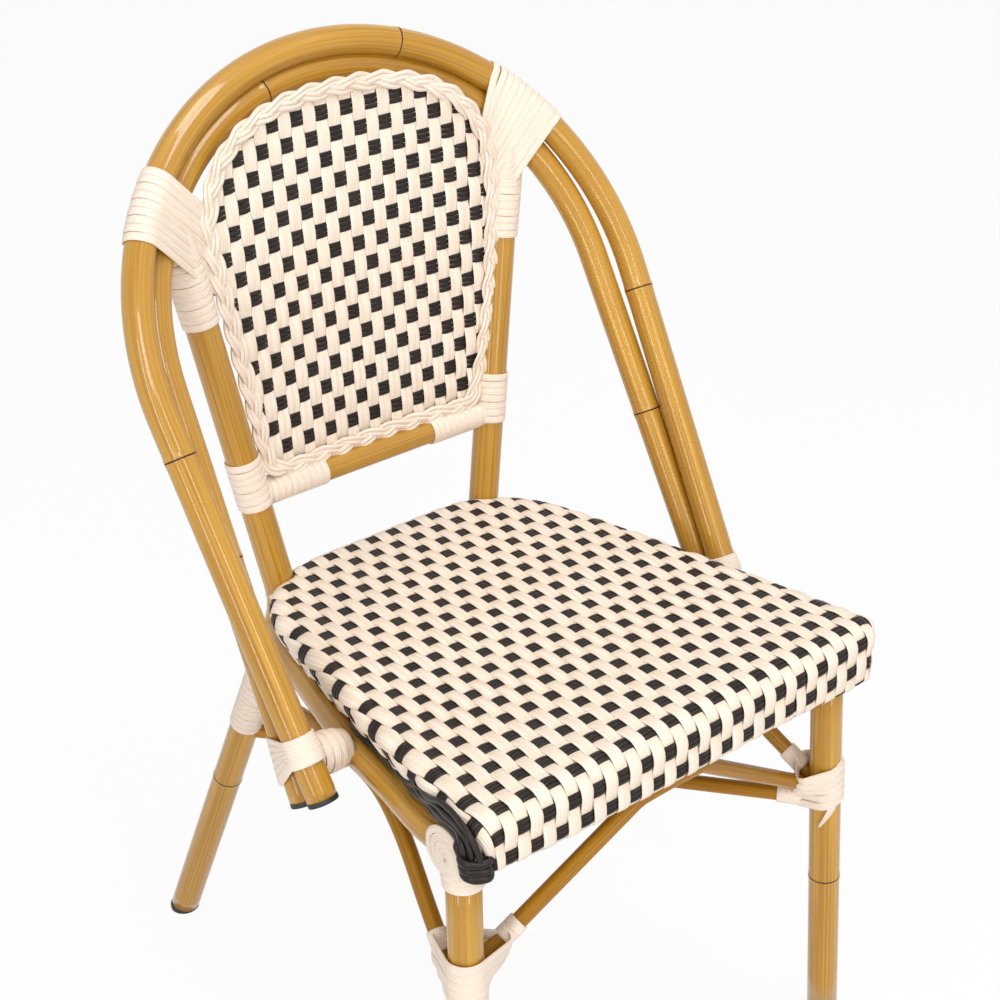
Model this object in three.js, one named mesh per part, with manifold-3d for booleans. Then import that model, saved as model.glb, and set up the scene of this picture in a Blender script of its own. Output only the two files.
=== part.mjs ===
// Bistro chair: a frame of bent aluminium tube, a woven seat pad and a woven back panel, with every
// joint lashed over by a flat strand. Millimetres, Z up. The sitter faces -Y, and X runs across.
// The origin is on the floor, under the middle of the chair.

import * as THREE from 'three';
import { mergeVertices } from 'three/addons/utils/BufferGeometryUtils.js';
import Module from 'manifold-3d';

const wasm = await Module();
wasm.setup();

// Tube diameters
const legTube = 28;
const hoopTube = 25.6;
const railTube = 25;
const stubTube = 24;
const lumbarTube = 22;
const panelTube = 12;
const braceTube = 14;
const tubeWall = 1.6;

// Fits
const clearance = 0.3;
const overrun = 40;

// Heights above the floor
const seatTop = 445;
const padDepth = 42;
const padRest = 0.5;
const railHeight = seatTop - padDepth - padRest - railTube / 2;
const glideHeight = 6;

// Front legs: the foot on the floor and the head in the seat rail
const frontFootSide = 211.5;
const frontFootDepth = 20.9;
const frontHeadSide = 194.3;
const frontHeadDepth = 34.6;

// Rear posts: the foot on the floor, the bend, and the place of the rail joint
const rearFootSide = 165.8;
const rearFootDepth = 560.5;
const postBendSide = 112.5;
const postBendDepth = 391.3;
const postBendDrop = 30;
const postBendHeight = seatTop - postBendDrop;
const postBendReach = 22;
const postHeadAngle = 38.3;

// The two hoops lean back from the height of the seat. Sizes run in the plane of each hoop. The outer
// one lies round the inner one, and as their planes differ they close up by a little.
const hoopNest = 0.1;
const innerHoop = { radius: 220.2, centre: 245.5, root: 235.5, lean: 27.44, toeIn: -1.6, end: -88 };
const outerRadius = innerHoop.radius + hoopTube - hoopNest;
const outerHoop = { radius: outerRadius, centre: 257, root: 205.4, lean: 29.09, toeIn: 2.86, end: -73 };

// Seat rail: one tube round both sides and the front
const railFrontDepth = 4.2;
const railCornerReach = 34;
const railWidthShares = [0.7, 0.751, 0.839, 0.912, 0.957, 1.011];
const saddleShare = 0.36;
const railRunShares = [0.892, 0.785, 0.6, 0.441, 0.282, 0.11];

// Seat pad outline
const padFront = -14;
const padBack = 405;
const padFrontHalf = 208;
const padSideHalf = 188;
const padSideDepth = 150;
const padWaistHalf = 152;
const padWaistDepth = 324;
const padBackHalf = 65;
const padCorner = 20;
const padRound = 10.5;
const padCornerLeast = 3;
const padCornerToe = 0.1;
const shoulderWidthShare = 0.947;
const shoulderDepthShare = 0.5;
const heelWidthShare = 0.69;
const heelDepthShare = 0.06;
const slantInset = 0.4;
const weaveSkin = 4;
const seatFrameWidth = 22;

// Lumbar rail, above the seat
const lumbarRise = 81;
const lumbarHeight = seatTop + lumbarRise;
const lumbarDepth = 400;

// Back panel, stacked up from the lumbar rail: foot, waist, hip and top
const panelFootRise = 15.6;
const panelWaistRise = 25.4;
const panelHipRise = 185;
const panelTopRise = 104;
const panelFootHeight = lumbarHeight + panelFootRise;
const panelWaistHeight = panelFootHeight + panelWaistRise;
const panelHipHeight = panelWaistHeight + panelHipRise;
const panelTopHeight = panelHipHeight + panelTopRise;
const panelFootHalf = 92;
const panelWaistHalf = 115.2;
const panelHipHalf = 142.4;
const panelHipHandle = 70;
const panelTopHandle = 92;
const panelFaceDepth = 407.3;
const panelFaceHeight = 776.8;
const panelLean = 2.88;
const panelBow = 9.57;
const panelSheet = 3.5;
const panelTubeInset = 8.2;
const panelTubeStep = 8;
const braidWidth = 17;
const braidThickness = 6;

// Braces
const sideBraceEndHeight = 250;
const sideBraceRearHeight = 310;
const frontBraceEndSide = 190;
const frontBraceEndDepth = 49;
const frontBraceEndRise = 13;
const frontBraceEndHeight = sideBraceEndHeight + frontBraceEndRise;
const frontBraceMidSide = 76;
const frontBraceMidDepth = 33;
const frontBraceMidDrop = 50;
const frontBraceMidHeight = railHeight - frontBraceMidDrop;
const frontBracePeakDrop = 1;
const frontBracePeakHeight = railHeight - frontBracePeakDrop;
const frontBraceShoulderShare = 0.45;
const rearBraceEndHeight = 308;
const rearBraceShoulderShare = 0.72;
const diagonalFrontDrop = 2;
const diagonalFrontHeight = sideBraceEndHeight - diagonalFrontDrop;
const diagonalStep = 26;
const upperDiagonalRearHeight = 258;
const lowerDiagonalRearHeight = upperDiagonalRearHeight - diagonalStep;
const sideBraceWidthShares = [1.055, 1.04, 0.978, 0.921, 0.9, 0.875, 0.823, 0.73];
const sideBraceRunShares = [0, 0.03, 0.141, 0.253, 0.345, 0.48, 0.638, 0.86];
const sideBraceRiseShares = [0, 0.14, 0.42, 0.75, 0.965, 1, 0.93, 0.68];

// Lashing strand
const strandWidth = 5.4;
const strandThickness = 2;
const strandPitch = 6;

// The strand lashings: where each starts, and how many turns it makes
const hoopLashingAngle = 27.5;
const hoopLashingTurns = 9;
const innerEdgeShare = 0.65;
const hoopFootLashingRise = -26;
const hoopFootLashingTurns = 4;
const postLashingHeight = 690;
const postLashingTurns = 6;
const waistLashingRise = 17;
const waistLashingHeight = lumbarHeight + waistLashingRise;
const waistLashingTurns = 3;
const lumbarLashingReach = { left: 50, right: 60 };
const stubLashingTurns = 3;
const rearLashingDrop = 34;
const rearLashingHeight = sideBraceRearHeight - rearLashingDrop;
const rearLashingTurns = 8;
const frontLashingDrop = 33.5;
const frontLashingHeight = sideBraceEndHeight - frontLashingDrop;
const frontLashingTurns = 3.5;
const frontLashingTilt = 18;
const collarDrop = 29;
const collarHeight = railHeight - collarDrop;
const collarTurns = 2;

// The strand of a rear leg climbs past the braces, from this turn on, over half a turn.
const rearClimbTurn = 4.75;
const rearClimb = 35;

// The rosette on the outer side of each front corner, a flat snail of strand
const rosetteRadius = 14.5;
const rosetteStart = 2.5;
const rosettePitch = 3;

// Plugs, glides and the hoop stubs
const plugStem = 16;
const plugDisc = 4.5;
const glideStem = 18;
const stemDepth = plugStem + 2 * clearance;
const stubRise = 6;

// Facets and steps
const tubeSides = 12;
const braceSides = 9;
const plugSides = 12;
const panelTubeSides = 8;
const braidSides = 6;
const hoopArcSteps = 30;
const postBendSteps = 7;
const railSideSteps = 10;
const railCornerSteps = 5;
const sideBraceSteps = 20;
const braceArchSteps = 6;
const panelRings = 52;
const sheetColumns = 14;
const padCurveSteps = 8;
const padEdgeSteps = 3;
const padInnerEdgeSteps = 2;
const outlineSteps = 10;
const turnSteps = 8;
const rosetteSteps = 10;
const mergeReach = 0.001;

const bamboo = new THREE.MeshStandardMaterial({ color: 0xc9983f, roughness: 0.32, metalness: 0.1 });
const bambooBrace = new THREE.MeshStandardMaterial({ color: 0xb98838, roughness: 0.35, metalness: 0.1 });
const cream = new THREE.MeshStandardMaterial({ color: 0xf4e4cf, roughness: 0.45, metalness: 0 });
const creamWeave = new THREE.MeshStandardMaterial({ color: 0xf1e0c8, roughness: 0.5, metalness: 0 });
const blackRubber = new THREE.MeshStandardMaterial({ color: 0x1d1c1b, roughness: 0.6, metalness: 0 });
const bareTube = new THREE.MeshStandardMaterial({ color: 0x9a9a98, roughness: 0.4, metalness: 0.8 });

const spot = (x, y, z) => new THREE.Vector3(x, y, z);
const between = (a, b, share) => a.clone().lerp(b, share);

// A route made of runs. Each run has its own number of steps, so that a straight run takes one.
class Route extends THREE.Curve {
  constructor(runs) {
    super();
    this.runs = runs;
    this.steps = runs.reduce((sum, run) => sum + run.steps, 0);
  }

  locate(share) {
    let place = share * this.steps;
    for (const run of this.runs) {
      if (place <= run.steps) return [run.curve, place / run.steps];
      place -= run.steps;
    }
    return [this.runs[this.runs.length - 1].curve, 1];
  }

  getPoint(share) {
    const [curve, place] = this.locate(share);
    return curve.getPoint(place);
  }

  getTangent(share) {
    const [curve, place] = this.locate(share);
    return curve.getTangent(place);
  }

  getPointAt(share) {
    return this.getPoint(share);
  }

  getTangentAt(share) {
    return this.getTangent(share);
  }
}

// A flat curve laid into space by a placing function
class LaidCurve extends THREE.Curve {
  constructor(flat, place) {
    super();
    this.flat = flat;
    this.place = place;
  }

  getPoint(share) {
    const point = this.flat.getPoint(share);
    return this.place(point.x, point.y);
  }
}

const straight = (a, b) => ({ curve: new THREE.LineCurve3(a, b), steps: 1 });
const flipped = (point) => spot(-point.x, point.y, point.z);

function solidOf(geometry) {
  const bare = geometry.clone();
  bare.deleteAttribute('normal');
  bare.deleteAttribute('uv');
  const merged = mergeVertices(bare, mergeReach);
  const vertProperties = new Float32Array(merged.getAttribute('position').array);
  const triVerts = new Uint32Array(merged.getIndex().array);
  return new wasm.Manifold(new wasm.Mesh({ numProp: 3, vertProperties, triVerts }));
}

function geometryOf(solid) {
  const mesh = solid.getMesh();
  const geometry = new THREE.BufferGeometry();
  geometry.setAttribute('position', new THREE.BufferAttribute(mesh.vertProperties, mesh.numProp));
  geometry.setIndex(new THREE.BufferAttribute(mesh.triVerts, 1));
  geometry.computeVertexNormals();
  return geometry;
}

function meshOf(name, shape, material) {
  const geometry = shape.isBufferGeometry ? shape : geometryOf(shape);
  const mesh = new THREE.Mesh(geometry, material);
  mesh.name = name;
  return mesh;
}

function roundSection(diameter, sides) {
  const points = [];
  for (let k = 0; k < sides; k += 1) {
    const angle = (k / sides) * 2 * Math.PI;
    points.push(new THREE.Vector2(Math.cos(angle), Math.sin(angle)).multiplyScalar(diameter / 2));
  }
  return new THREE.Shape(points);
}

function tubeSolid(route, diameter, sides = tubeSides) {
  const section = roundSection(diameter, sides);
  const geometry = new THREE.ExtrudeGeometry(section, { steps: route.steps, extrudePath: route });
  return solidOf(geometry);
}

// What a neighbour is cut back by where it meets this tube
function envelope(route, diameter, gap = clearance) {
  return tubeSolid(route, diameter + 2 * gap);
}

function boxSolid(low, high) {
  const size = high.clone().sub(low);
  const centre = between(low, high, 1 / 2);
  const geometry = new THREE.BoxGeometry(size.x, size.y, size.z);
  geometry.translate(centre.x, centre.y, centre.z);
  return solidOf(geometry);
}

// A slab across the whole chair between two heights
function slab(low, high) {
  const reach = rearFootDepth + overrun;
  return boxSolid(spot(-reach, -reach, low), spot(reach, 2 * reach, high));
}

// Joins rings of points into one closed surface, either as a loop or with flat ends.
function sweep(rings, looped) {
  const sides = rings[0].length;
  const faces = [];
  const spans = looped ? rings.length : rings.length - 1;
  for (let i = 0; i < spans; i += 1) {
    const here = i * sides;
    const next = ((i + 1) % rings.length) * sides;
    for (let k = 0; k < sides; k += 1) {
      const turn = (k + 1) % sides;
      faces.push(here + k, here + turn, next + turn, here + k, next + turn, next + k);
    }
  }
  if (!looped) {
    const end = (rings.length - 1) * sides;
    for (let k = 1; k < sides - 1; k += 1) {
      faces.push(0, k + 1, k);
      faces.push(end, end + k, end + k + 1);
    }
  }
  const geometry = new THREE.BufferGeometry().setFromPoints(rings.flat());
  geometry.setIndex(faces);
  if (signedVolume(geometry) < 0) {
    geometry.setIndex(faces.reverse());
  }
  geometry.computeVertexNormals();
  return geometry;
}

function signedVolume(geometry) {
  const position = geometry.getAttribute('position');
  const index = geometry.getIndex();
  const [a, b, c] = [spot(0, 0, 0), spot(0, 0, 0), spot(0, 0, 0)];
  let total = 0;
  for (let i = 0; i < index.count; i += 3) {
    a.fromBufferAttribute(position, index.getX(i));
    b.fromBufferAttribute(position, index.getX(i + 1));
    c.fromBufferAttribute(position, index.getX(i + 2));
    total += a.dot(b.cross(c)) / 6;
  }
  return total;
}

// Routes of the frame

const radians = THREE.MathUtils.degToRad;

function hoopPlane(hoop) {
  const lean = radians(hoop.lean);
  return (x, rise) => spot(x, hoop.root + rise * Math.sin(lean), seatTop + rise * Math.cos(lean));
}

function hoopPoint(hoop, degrees) {
  const angle = radians(degrees);
  const place = hoopPlane(hoop);
  return place(hoop.radius * Math.cos(angle), hoop.centre + hoop.radius * Math.sin(angle));
}

function hoopLegEnd(hoop) {
  const toe = radians(hoop.toeIn);
  const startRise = hoop.centre - hoop.radius * Math.sin(toe);
  const startSide = hoop.radius * Math.cos(toe);
  return { side: startSide - (startRise - hoop.end) * Math.tan(toe), startSide, startRise };
}

function hoopRoute(hoop) {
  const place = hoopPlane(hoop);
  const leg = hoopLegEnd(hoop);
  const toe = radians(hoop.toeIn);
  const arc = new THREE.EllipseCurve(0, hoop.centre, hoop.radius, hoop.radius, -toe, Math.PI + toe);
  return new Route([
    straight(place(leg.side, hoop.end), place(leg.startSide, leg.startRise)),
    { curve: new LaidCurve(arc, place), steps: hoopArcSteps },
    straight(place(-leg.startSide, leg.startRise), place(-leg.side, hoop.end)),
  ]);
}

// The axis of a front leg and of a rear post, for the side +1 or -1
const frontFoot = (side) => spot(side * frontFootSide, frontFootDepth, 0);
const frontHead = (side) => spot(side * frontHeadSide, frontHeadDepth, railHeight);
const rearFoot = (side) => spot(side * rearFootSide, rearFootDepth, 0);
const postBend = (side) => spot(side * postBendSide, postBendDepth, postBendHeight);

function postHead(side) {
  const head = hoopPoint(innerHoop, postHeadAngle);
  return spot(side * head.x, head.y, head.z);
}

const atHeight = (low, high, height) => between(low, high, (height - low.z) / (high.z - low.z));
const frontLegAt = (side, height) => atHeight(frontFoot(side), frontHead(side), height);
const rearLegAt = (side, height) => atHeight(rearFoot(side), postBend(side), height);
const postAt = (side, height) => atHeight(postBend(side), postHead(side), height);

function beyond(point, from, reach) {
  return point.clone().add(point.clone().sub(from).setLength(reach));
}

function frontLegRoute(side) {
  const top = frontLegAt(side, railHeight - railTube * saddleShare);
  return new Route([straight(beyond(frontFoot(side), top, overrun), top)]);
}

function postRoute(side) {
  const [foot, bend, head] = [rearFoot(side), postBend(side), postHead(side)];
  const low = between(bend, foot, postBendReach / bend.distanceTo(foot));
  const high = between(bend, head, postBendReach / bend.distanceTo(head));
  return new Route([
    straight(beyond(foot, bend, overrun), low),
    { curve: new THREE.QuadraticBezierCurve3(low, bend, high), steps: postBendSteps },
    straight(high, head),
  ]);
}

function seatRailRoute() {
  const rear = rearLegAt(1, railHeight);
  const head = frontHead(1);
  const run = rear.y - head.y;
  const sidePoints = railWidthShares.map((share, i) => (
    spot(frontHeadSide * share, head.y + run * railRunShares[i], railHeight)));
  const rightSide = [rear, ...sidePoints, head];
  const cornerEnd = spot(head.x - railCornerReach, railFrontDepth, railHeight);
  const corner = spot(head.x - clearance, railFrontDepth, railHeight);
  const leftSide = rightSide.map(flipped).reverse();
  const leftCorner = [cornerEnd, corner, head].map(flipped);
  return new Route([
    { curve: new THREE.CatmullRomCurve3(rightSide), steps: railSideSteps },
    { curve: new THREE.QuadraticBezierCurve3(head, corner, cornerEnd), steps: railCornerSteps },
    straight(cornerEnd, flipped(cornerEnd)),
    { curve: new THREE.QuadraticBezierCurve3(...leftCorner), steps: railCornerSteps },
    { curve: new THREE.CatmullRomCurve3(leftSide), steps: railSideSteps },
  ]);
}

// Where the stub to the hoops leaves the seat rail
function stubSeat(side) {
  const rear = rearLegAt(1, railHeight);
  const depth = frontHeadDepth + (rear.y - frontHeadDepth) * railRunShares[3];
  return spot(side * frontHeadSide * railWidthShares[3], depth, railHeight);
}

function hoopLegAt(hoop, side, rise) {
  const leg = hoopLegEnd(hoop);
  const share = (rise - hoop.end) / (leg.startRise - hoop.end);
  const x = leg.side + (leg.startSide - leg.side) * share;
  return hoopPlane(hoop)(side * x, rise);
}

function stubRoute(side) {
  const seat = stubSeat(side);
  const hoopSide = hoopLegAt(outerHoop, side, 0).x;
  const reach = Math.abs(hoopSide) - hoopTube / 2 + clearance;
  return new Route([straight(seat, spot(side * reach, seat.y, seat.z + stubRise))]);
}

function lumbarRoute() {
  const end = postAt(1, lumbarHeight);
  const right = spot(end.x, lumbarDepth, end.z);
  return new Route([straight(flipped(right), right)]);
}

function rearRailRoute() {
  const right = rearLegAt(1, railHeight);
  return new Route([straight(flipped(right), right)]);
}

const sideBraceTop = railHeight - railTube / 2 - braceTube / 2 - clearance;

function sideBraceRoute(side) {
  const rear = rearLegAt(1, sideBraceRearHeight);
  const run = rear.y - frontHeadDepth;
  const rise = sideBraceTop - sideBraceEndHeight;
  const points = sideBraceWidthShares.map((share, i) => spot(
    side * frontHeadSide * share,
    frontHeadDepth + run * sideBraceRunShares[i],
    sideBraceEndHeight + rise * sideBraceRiseShares[i],
  ));
  points.push(spot(side * rear.x, rear.y, rear.z));
  return new Route([{ curve: new THREE.CatmullRomCurve3(points), steps: sideBraceSteps }]);
}

function frontBraceRoute() {
  const end = spot(frontBraceEndSide, frontBraceEndDepth, frontBraceEndHeight);
  const middle = spot(frontBraceMidSide, frontBraceMidDepth, frontBraceMidHeight);
  const shoulder = beyond(middle, end, middle.distanceTo(end) * frontBraceShoulderShare);
  const slope = (middle.y - end.y) / (middle.x - end.x);
  const peak = spot(0, middle.y - slope * middle.x, frontBracePeakHeight + braceTube / 4);
  return new Route([
    straight(end, shoulder),
    { curve: new THREE.QuadraticBezierCurve3(shoulder, peak, flipped(shoulder)), steps: braceArchSteps },
    straight(flipped(shoulder), flipped(end)),
  ]);
}

function rearBraceRoute() {
  const end = rearLegAt(1, rearBraceEndHeight);
  const rearRail = rearLegAt(1, railHeight);
  const top = railHeight - lumbarTube / 2 - braceTube / 2 - clearance;
  const peak = spot(0, rearRail.y, top);
  const shoulder = between(end, peak, rearBraceShoulderShare);
  const control = spot(0, peak.y, top + (top - shoulder.z));
  return new Route([
    straight(end, shoulder),
    { curve: new THREE.QuadraticBezierCurve3(shoulder, control, flipped(shoulder)), steps: braceArchSteps },
    straight(flipped(shoulder), flipped(end)),
  ]);
}

// Each diagonal runs from one front leg to the rear leg of the other side.
function diagonalRoute(side, rearHeight) {
  const front = frontLegAt(side, diagonalFrontHeight);
  const rear = rearLegAt(-side, rearHeight);
  return new Route([straight(front, rear)]);
}

const routes = {
  outerHoop: hoopRoute(outerHoop),
  innerHoop: hoopRoute(innerHoop),
  seatRail: seatRailRoute(),
  frontBrace: frontBraceRoute(),
};

// Frame pieces

function boreAt(point, direction, depth, diameter) {
  const bore = diameter - 2 * tubeWall;
  const inner = point.clone().add(direction.clone().setLength(depth));
  return tubeSolid(new Route([straight(beyond(point, inner, overrun / 8), inner)]), bore);
}

// A black plug: a rounded disc that covers the tube's end, and a stem inside it
function plugGeometry(diameter) {
  const outer = diameter / 2;
  const stem = outer - tubeWall - clearance;
  const rim = plugDisc / 4;
  const profile = [
    new THREE.Vector2(0, -plugDisc),
    new THREE.Vector2(outer - rim, -plugDisc),
    new THREE.Vector2(outer, rim - plugDisc),
    new THREE.Vector2(outer, -clearance),
    new THREE.Vector2(stem, -clearance),
    new THREE.Vector2(stem, plugStem),
    new THREE.Vector2(0, plugStem),
  ];
  return new THREE.LatheGeometry(profile, plugSides);
}

function buildHoops() {
  const group = new THREE.Group();
  for (const [name, hoop, route] of [
    ['outer_hoop', outerHoop, routes.outerHoop],
    ['inner_hoop', innerHoop, routes.innerHoop],
  ]) {
    let tube = tubeSolid(route, hoopTube);
    for (const share of [0, 1]) {
      const inward = route.getTangent(share).multiplyScalar(share === 0 ? 1 : -1);
      const end = route.getPoint(share);
      tube = tube.subtract(boreAt(end, inward, stemDepth, hoopTube));
      const hand = end.x < 0 ? 'left' : 'right';
      const cap = meshOf(`${name}_cap_${hand}`, plugGeometry(hoopTube), blackRubber);
      cap.position.copy(end);
      cap.quaternion.setFromUnitVectors(spot(0, 1, 0), inward.normalize());
      group.add(cap);
    }
    group.add(meshOf(name, tube, bamboo));
  }
  return group;
}

function glideSolid(foot, upper) {
  const direction = upper.clone().sub(foot);
  const low = beyond(foot, upper, overrun);
  const disc = tubeSolid(new Route([straight(low, upper)]), legTube);
  const top = atHeight(foot, upper, glideHeight + glideStem);
  const stem = boreAt(foot, direction, top.distanceTo(foot), legTube - 2 * clearance);
  const flange = disc.intersect(slab(0, glideHeight - clearance));
  return flange.add(stem.subtract(slab(-2 * overrun, glideHeight / 2)));
}

function footBore(foot, upper) {
  const top = atHeight(foot, upper, glideHeight + glideStem + 2 * clearance);
  return boreAt(foot, upper.clone().sub(foot), top.distanceTo(foot), legTube);
}

function buildLegs() {
  const group = new THREE.Group();
  const railCut = envelope(routes.seatRail, railTube);
  const hoopCut = envelope(routes.innerHoop, hoopTube, lashedGap(hoopTube) + 2 * clearance);
  for (const [side, hand] of [[-1, 'left'], [1, 'right']]) {
    const frontTop = frontLegAt(side, railHeight);
    const front = tubeSolid(frontLegRoute(side), legTube)
      .subtract(slab(-2 * overrun, glideHeight))
      .subtract(footBore(frontFoot(side), frontTop))
      .subtract(railCut);
    group.add(meshOf(`front_leg_${hand}`, front, bamboo));
    group.add(meshOf(`front_glide_${hand}`, glideSolid(frontFoot(side), frontTop), blackRubber));
    const post = tubeSolid(postRoute(side), legTube)
      .subtract(slab(-2 * overrun, glideHeight))
      .subtract(footBore(rearFoot(side), postBend(side)))
      .subtract(hoopCut);
    group.add(meshOf(`rear_post_${hand}`, post, bamboo));
    group.add(meshOf(`rear_glide_${hand}`, glideSolid(rearFoot(side), postBend(side)), blackRubber));
  }
  return group;
}

function postCuts(gap = clearance) {
  return envelope(postRoute(-1), legTube, gap).add(envelope(postRoute(1), legTube, gap));
}

function frontLegCuts() {
  return envelope(frontLegRoute(-1), legTube).add(envelope(frontLegRoute(1), legTube));
}

function buildRails() {
  const group = new THREE.Group();
  const posts = postCuts();
  const seatRail = tubeSolid(routes.seatRail, railTube).subtract(posts);
  group.add(meshOf('seat_rail', seatRail, bamboo));
  const railCut = envelope(routes.seatRail, railTube);
  const rearRail = tubeSolid(rearRailRoute(), lumbarTube).subtract(posts).subtract(railCut);
  group.add(meshOf('rear_rail', rearRail, bamboo));
  const lumbar = tubeSolid(lumbarRoute(), lumbarTube).subtract(posts);
  group.add(meshOf('lumbar_rail', lumbar, bamboo));
  const hoopCut = envelope(routes.outerHoop, hoopTube).add(envelope(routes.innerHoop, hoopTube));
  for (const [side, hand] of [[-1, 'left'], [1, 'right']]) {
    const stub = tubeSolid(stubRoute(side), stubTube).subtract(railCut).subtract(hoopCut);
    group.add(meshOf(`hoop_stub_${hand}`, stub, bamboo));
  }
  return group;
}

function buildBraces() {
  const group = new THREE.Group();
  const legs = frontLegCuts().add(postCuts());
  const frontBrace = tubeSolid(routes.frontBrace, braceTube, braceSides).subtract(legs);
  group.add(meshOf('front_brace', frontBrace, bambooBrace));
  let sideCuts = envelope(routes.frontBrace, braceTube);
  for (const [side, hand] of [[-1, 'left'], [1, 'right']]) {
    const route = sideBraceRoute(side);
    const brace = tubeSolid(route, braceTube, braceSides).subtract(legs);
    group.add(meshOf(`side_brace_${hand}`, brace, bambooBrace));
    sideCuts = sideCuts.add(envelope(route, braceTube));
  }
  const braceCuts = legs.add(sideCuts);
  const rearBrace = tubeSolid(rearBraceRoute(), braceTube, braceSides).subtract(braceCuts);
  group.add(meshOf('rear_brace', rearBrace, bambooBrace));
  for (const [side, height, name] of [
    [1, upperDiagonalRearHeight, 'upper_diagonal'],
    [-1, lowerDiagonalRearHeight, 'lower_diagonal'],
  ]) {
    const bar = tubeSolid(diagonalRoute(side, height), braceTube, braceSides).subtract(braceCuts);
    group.add(meshOf(name, bar, bambooBrace));
  }
  return group;
}

// Seat pad

// The pad's outline, drawn in by an inset
function padOutline(inset) {
  const front = padFront + inset;
  const back = padBack - inset;
  const frontHalf = padFrontHalf - inset;
  const corner = Math.max(padCorner - inset, padCornerLeast);
  const toe = corner * padCornerToe;
  const slant = inset * slantInset;
  const rearRun = padBack - padWaistDepth;
  const waist = [padWaistHalf - inset, padWaistDepth - slant / 2];
  const sideControl = [padSideHalf - inset, padSideDepth];
  const shoulder = [
    padWaistHalf * shoulderWidthShare - inset,
    padWaistDepth + rearRun * shoulderDepthShare - slant,
  ];
  const heel = [padWaistHalf * heelWidthShare - slant, padBack - rearRun * heelDepthShare - inset];
  const mirror = ([x, y]) => [-x, y];
  const shape = new THREE.Shape();
  shape.moveTo(-frontHalf + corner, front);
  shape.lineTo(frontHalf - corner, front);
  shape.quadraticCurveTo(frontHalf, front, frontHalf - toe, front + corner);
  shape.quadraticCurveTo(...sideControl, ...waist);
  shape.bezierCurveTo(...shoulder, ...heel, padBackHalf, back);
  shape.lineTo(-padBackHalf, back);
  shape.bezierCurveTo(...mirror(heel), ...mirror(shoulder), ...mirror(waist));
  shape.quadraticCurveTo(...mirror(sideControl), -frontHalf + toe, front + corner);
  shape.quadraticCurveTo(-frontHalf, front, -frontHalf + corner, front);
  return shape;
}

// A prism of an outline with rounded upper and lower edges
function roundedPrism(shape, low, high, round = 0, bevelSegments = 1) {
  const geometry = new THREE.ExtrudeGeometry(shape, {
    depth: high - low - 2 * round,
    bevelEnabled: round > 0,
    bevelThickness: round,
    bevelSize: round,
    bevelOffset: -round,
    bevelSegments,
    curveSegments: padCurveSteps,
  });
  geometry.translate(0, 0, low + round);
  return solidOf(geometry);
}

function buildSeat() {
  const group = new THREE.Group();
  const low = seatTop - padDepth;
  const frameInset = weaveSkin + clearance;
  const mouthInset = frameInset + seatFrameWidth + weaveSkin;
  const channelRound = padRound - weaveSkin;
  const pad = roundedPrism(padOutline(0), low, seatTop, padRound, padEdgeSteps);
  const inside = padOutline(weaveSkin);
  const [floor, roof] = [low + weaveSkin, seatTop - weaveSkin];
  const channel = roundedPrism(inside, floor, roof, channelRound, padInnerEdgeSteps);
  const mouth = roundedPrism(padOutline(mouthInset), low - overrun, low + padDepth / 2);
  const weave = pad.subtract(channel).subtract(mouth).subtract(postCuts());
  group.add(meshOf('seat_weave', weave, creamWeave));
  const frameLow = low + frameInset;
  const frameHigh = seatTop - frameInset;
  const edge = padOutline(frameInset);
  const frameOuter = roundedPrism(edge, frameLow, frameHigh, channelRound, padInnerEdgeSteps);
  const hole = padOutline(frameInset + seatFrameWidth);
  const frameHole = roundedPrism(hole, low - overrun, seatTop + overrun);
  const frame = frameOuter.subtract(frameHole).subtract(postCuts());
  group.add(meshOf('seat_frame', frame, bareTube));
  return group;
}

// Back panel

// Depth of the panel's front face at a place on it
function panelFace(x, z) {
  const lean = (z - panelFaceHeight) * Math.tan(radians(panelLean));
  const bow = panelBow * (1 - (x / panelHipHalf) ** 2);
  return panelFaceDepth + lean + bow;
}

// The outline that the braid follows. The panel's tube stands a step inside it, but not at the foot.
function panelOutline(step = 0) {
  const top = panelTopHeight - step;
  const hip = panelHipHalf - step;
  const waist = panelWaistHalf - step;
  const foot = panelFootHalf - step;
  const shoulder = panelHipHeight + panelHipHandle;
  const path = new THREE.Path();
  path.moveTo(0, top);
  path.bezierCurveTo(panelTopHandle, top, hip, shoulder, hip, panelHipHeight);
  path.lineTo(waist, panelWaistHeight);
  path.quadraticCurveTo(waist, panelFootHeight, foot, panelFootHeight);
  path.lineTo(-foot, panelFootHeight);
  path.quadraticCurveTo(-waist, panelFootHeight, -waist, panelWaistHeight);
  path.lineTo(-hip, panelHipHeight);
  path.bezierCurveTo(-hip, shoulder, -panelTopHandle, top, 0, top);
  return path;
}

// A loop of sections round the panel, each an oval set square to the outline
function panelLoop(width, thickness, inset, sides, step = 0) {
  const outline = panelOutline(step);
  const rings = [];
  for (let i = 0; i < panelRings; i += 1) {
    const share = i / panelRings;
    const at = outline.getPointAt(share);
    const along = outline.getTangentAt(share);
    const across = spot(along.y, 0, -along.x);
    const ring = [];
    for (let k = 0; k < sides; k += 1) {
      const angle = ((k + 1 / 2) / sides) * 2 * Math.PI;
      const point = spot(at.x, panelFace(at.x, at.y) + inset, at.y);
      point.addScaledVector(across, (Math.cos(angle) * width) / 2);
      point.y += (Math.sin(angle) * thickness) / 2;
      ring.push(point);
    }
    rings.push(ring);
  }
  return sweep(rings, true);
}

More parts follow.
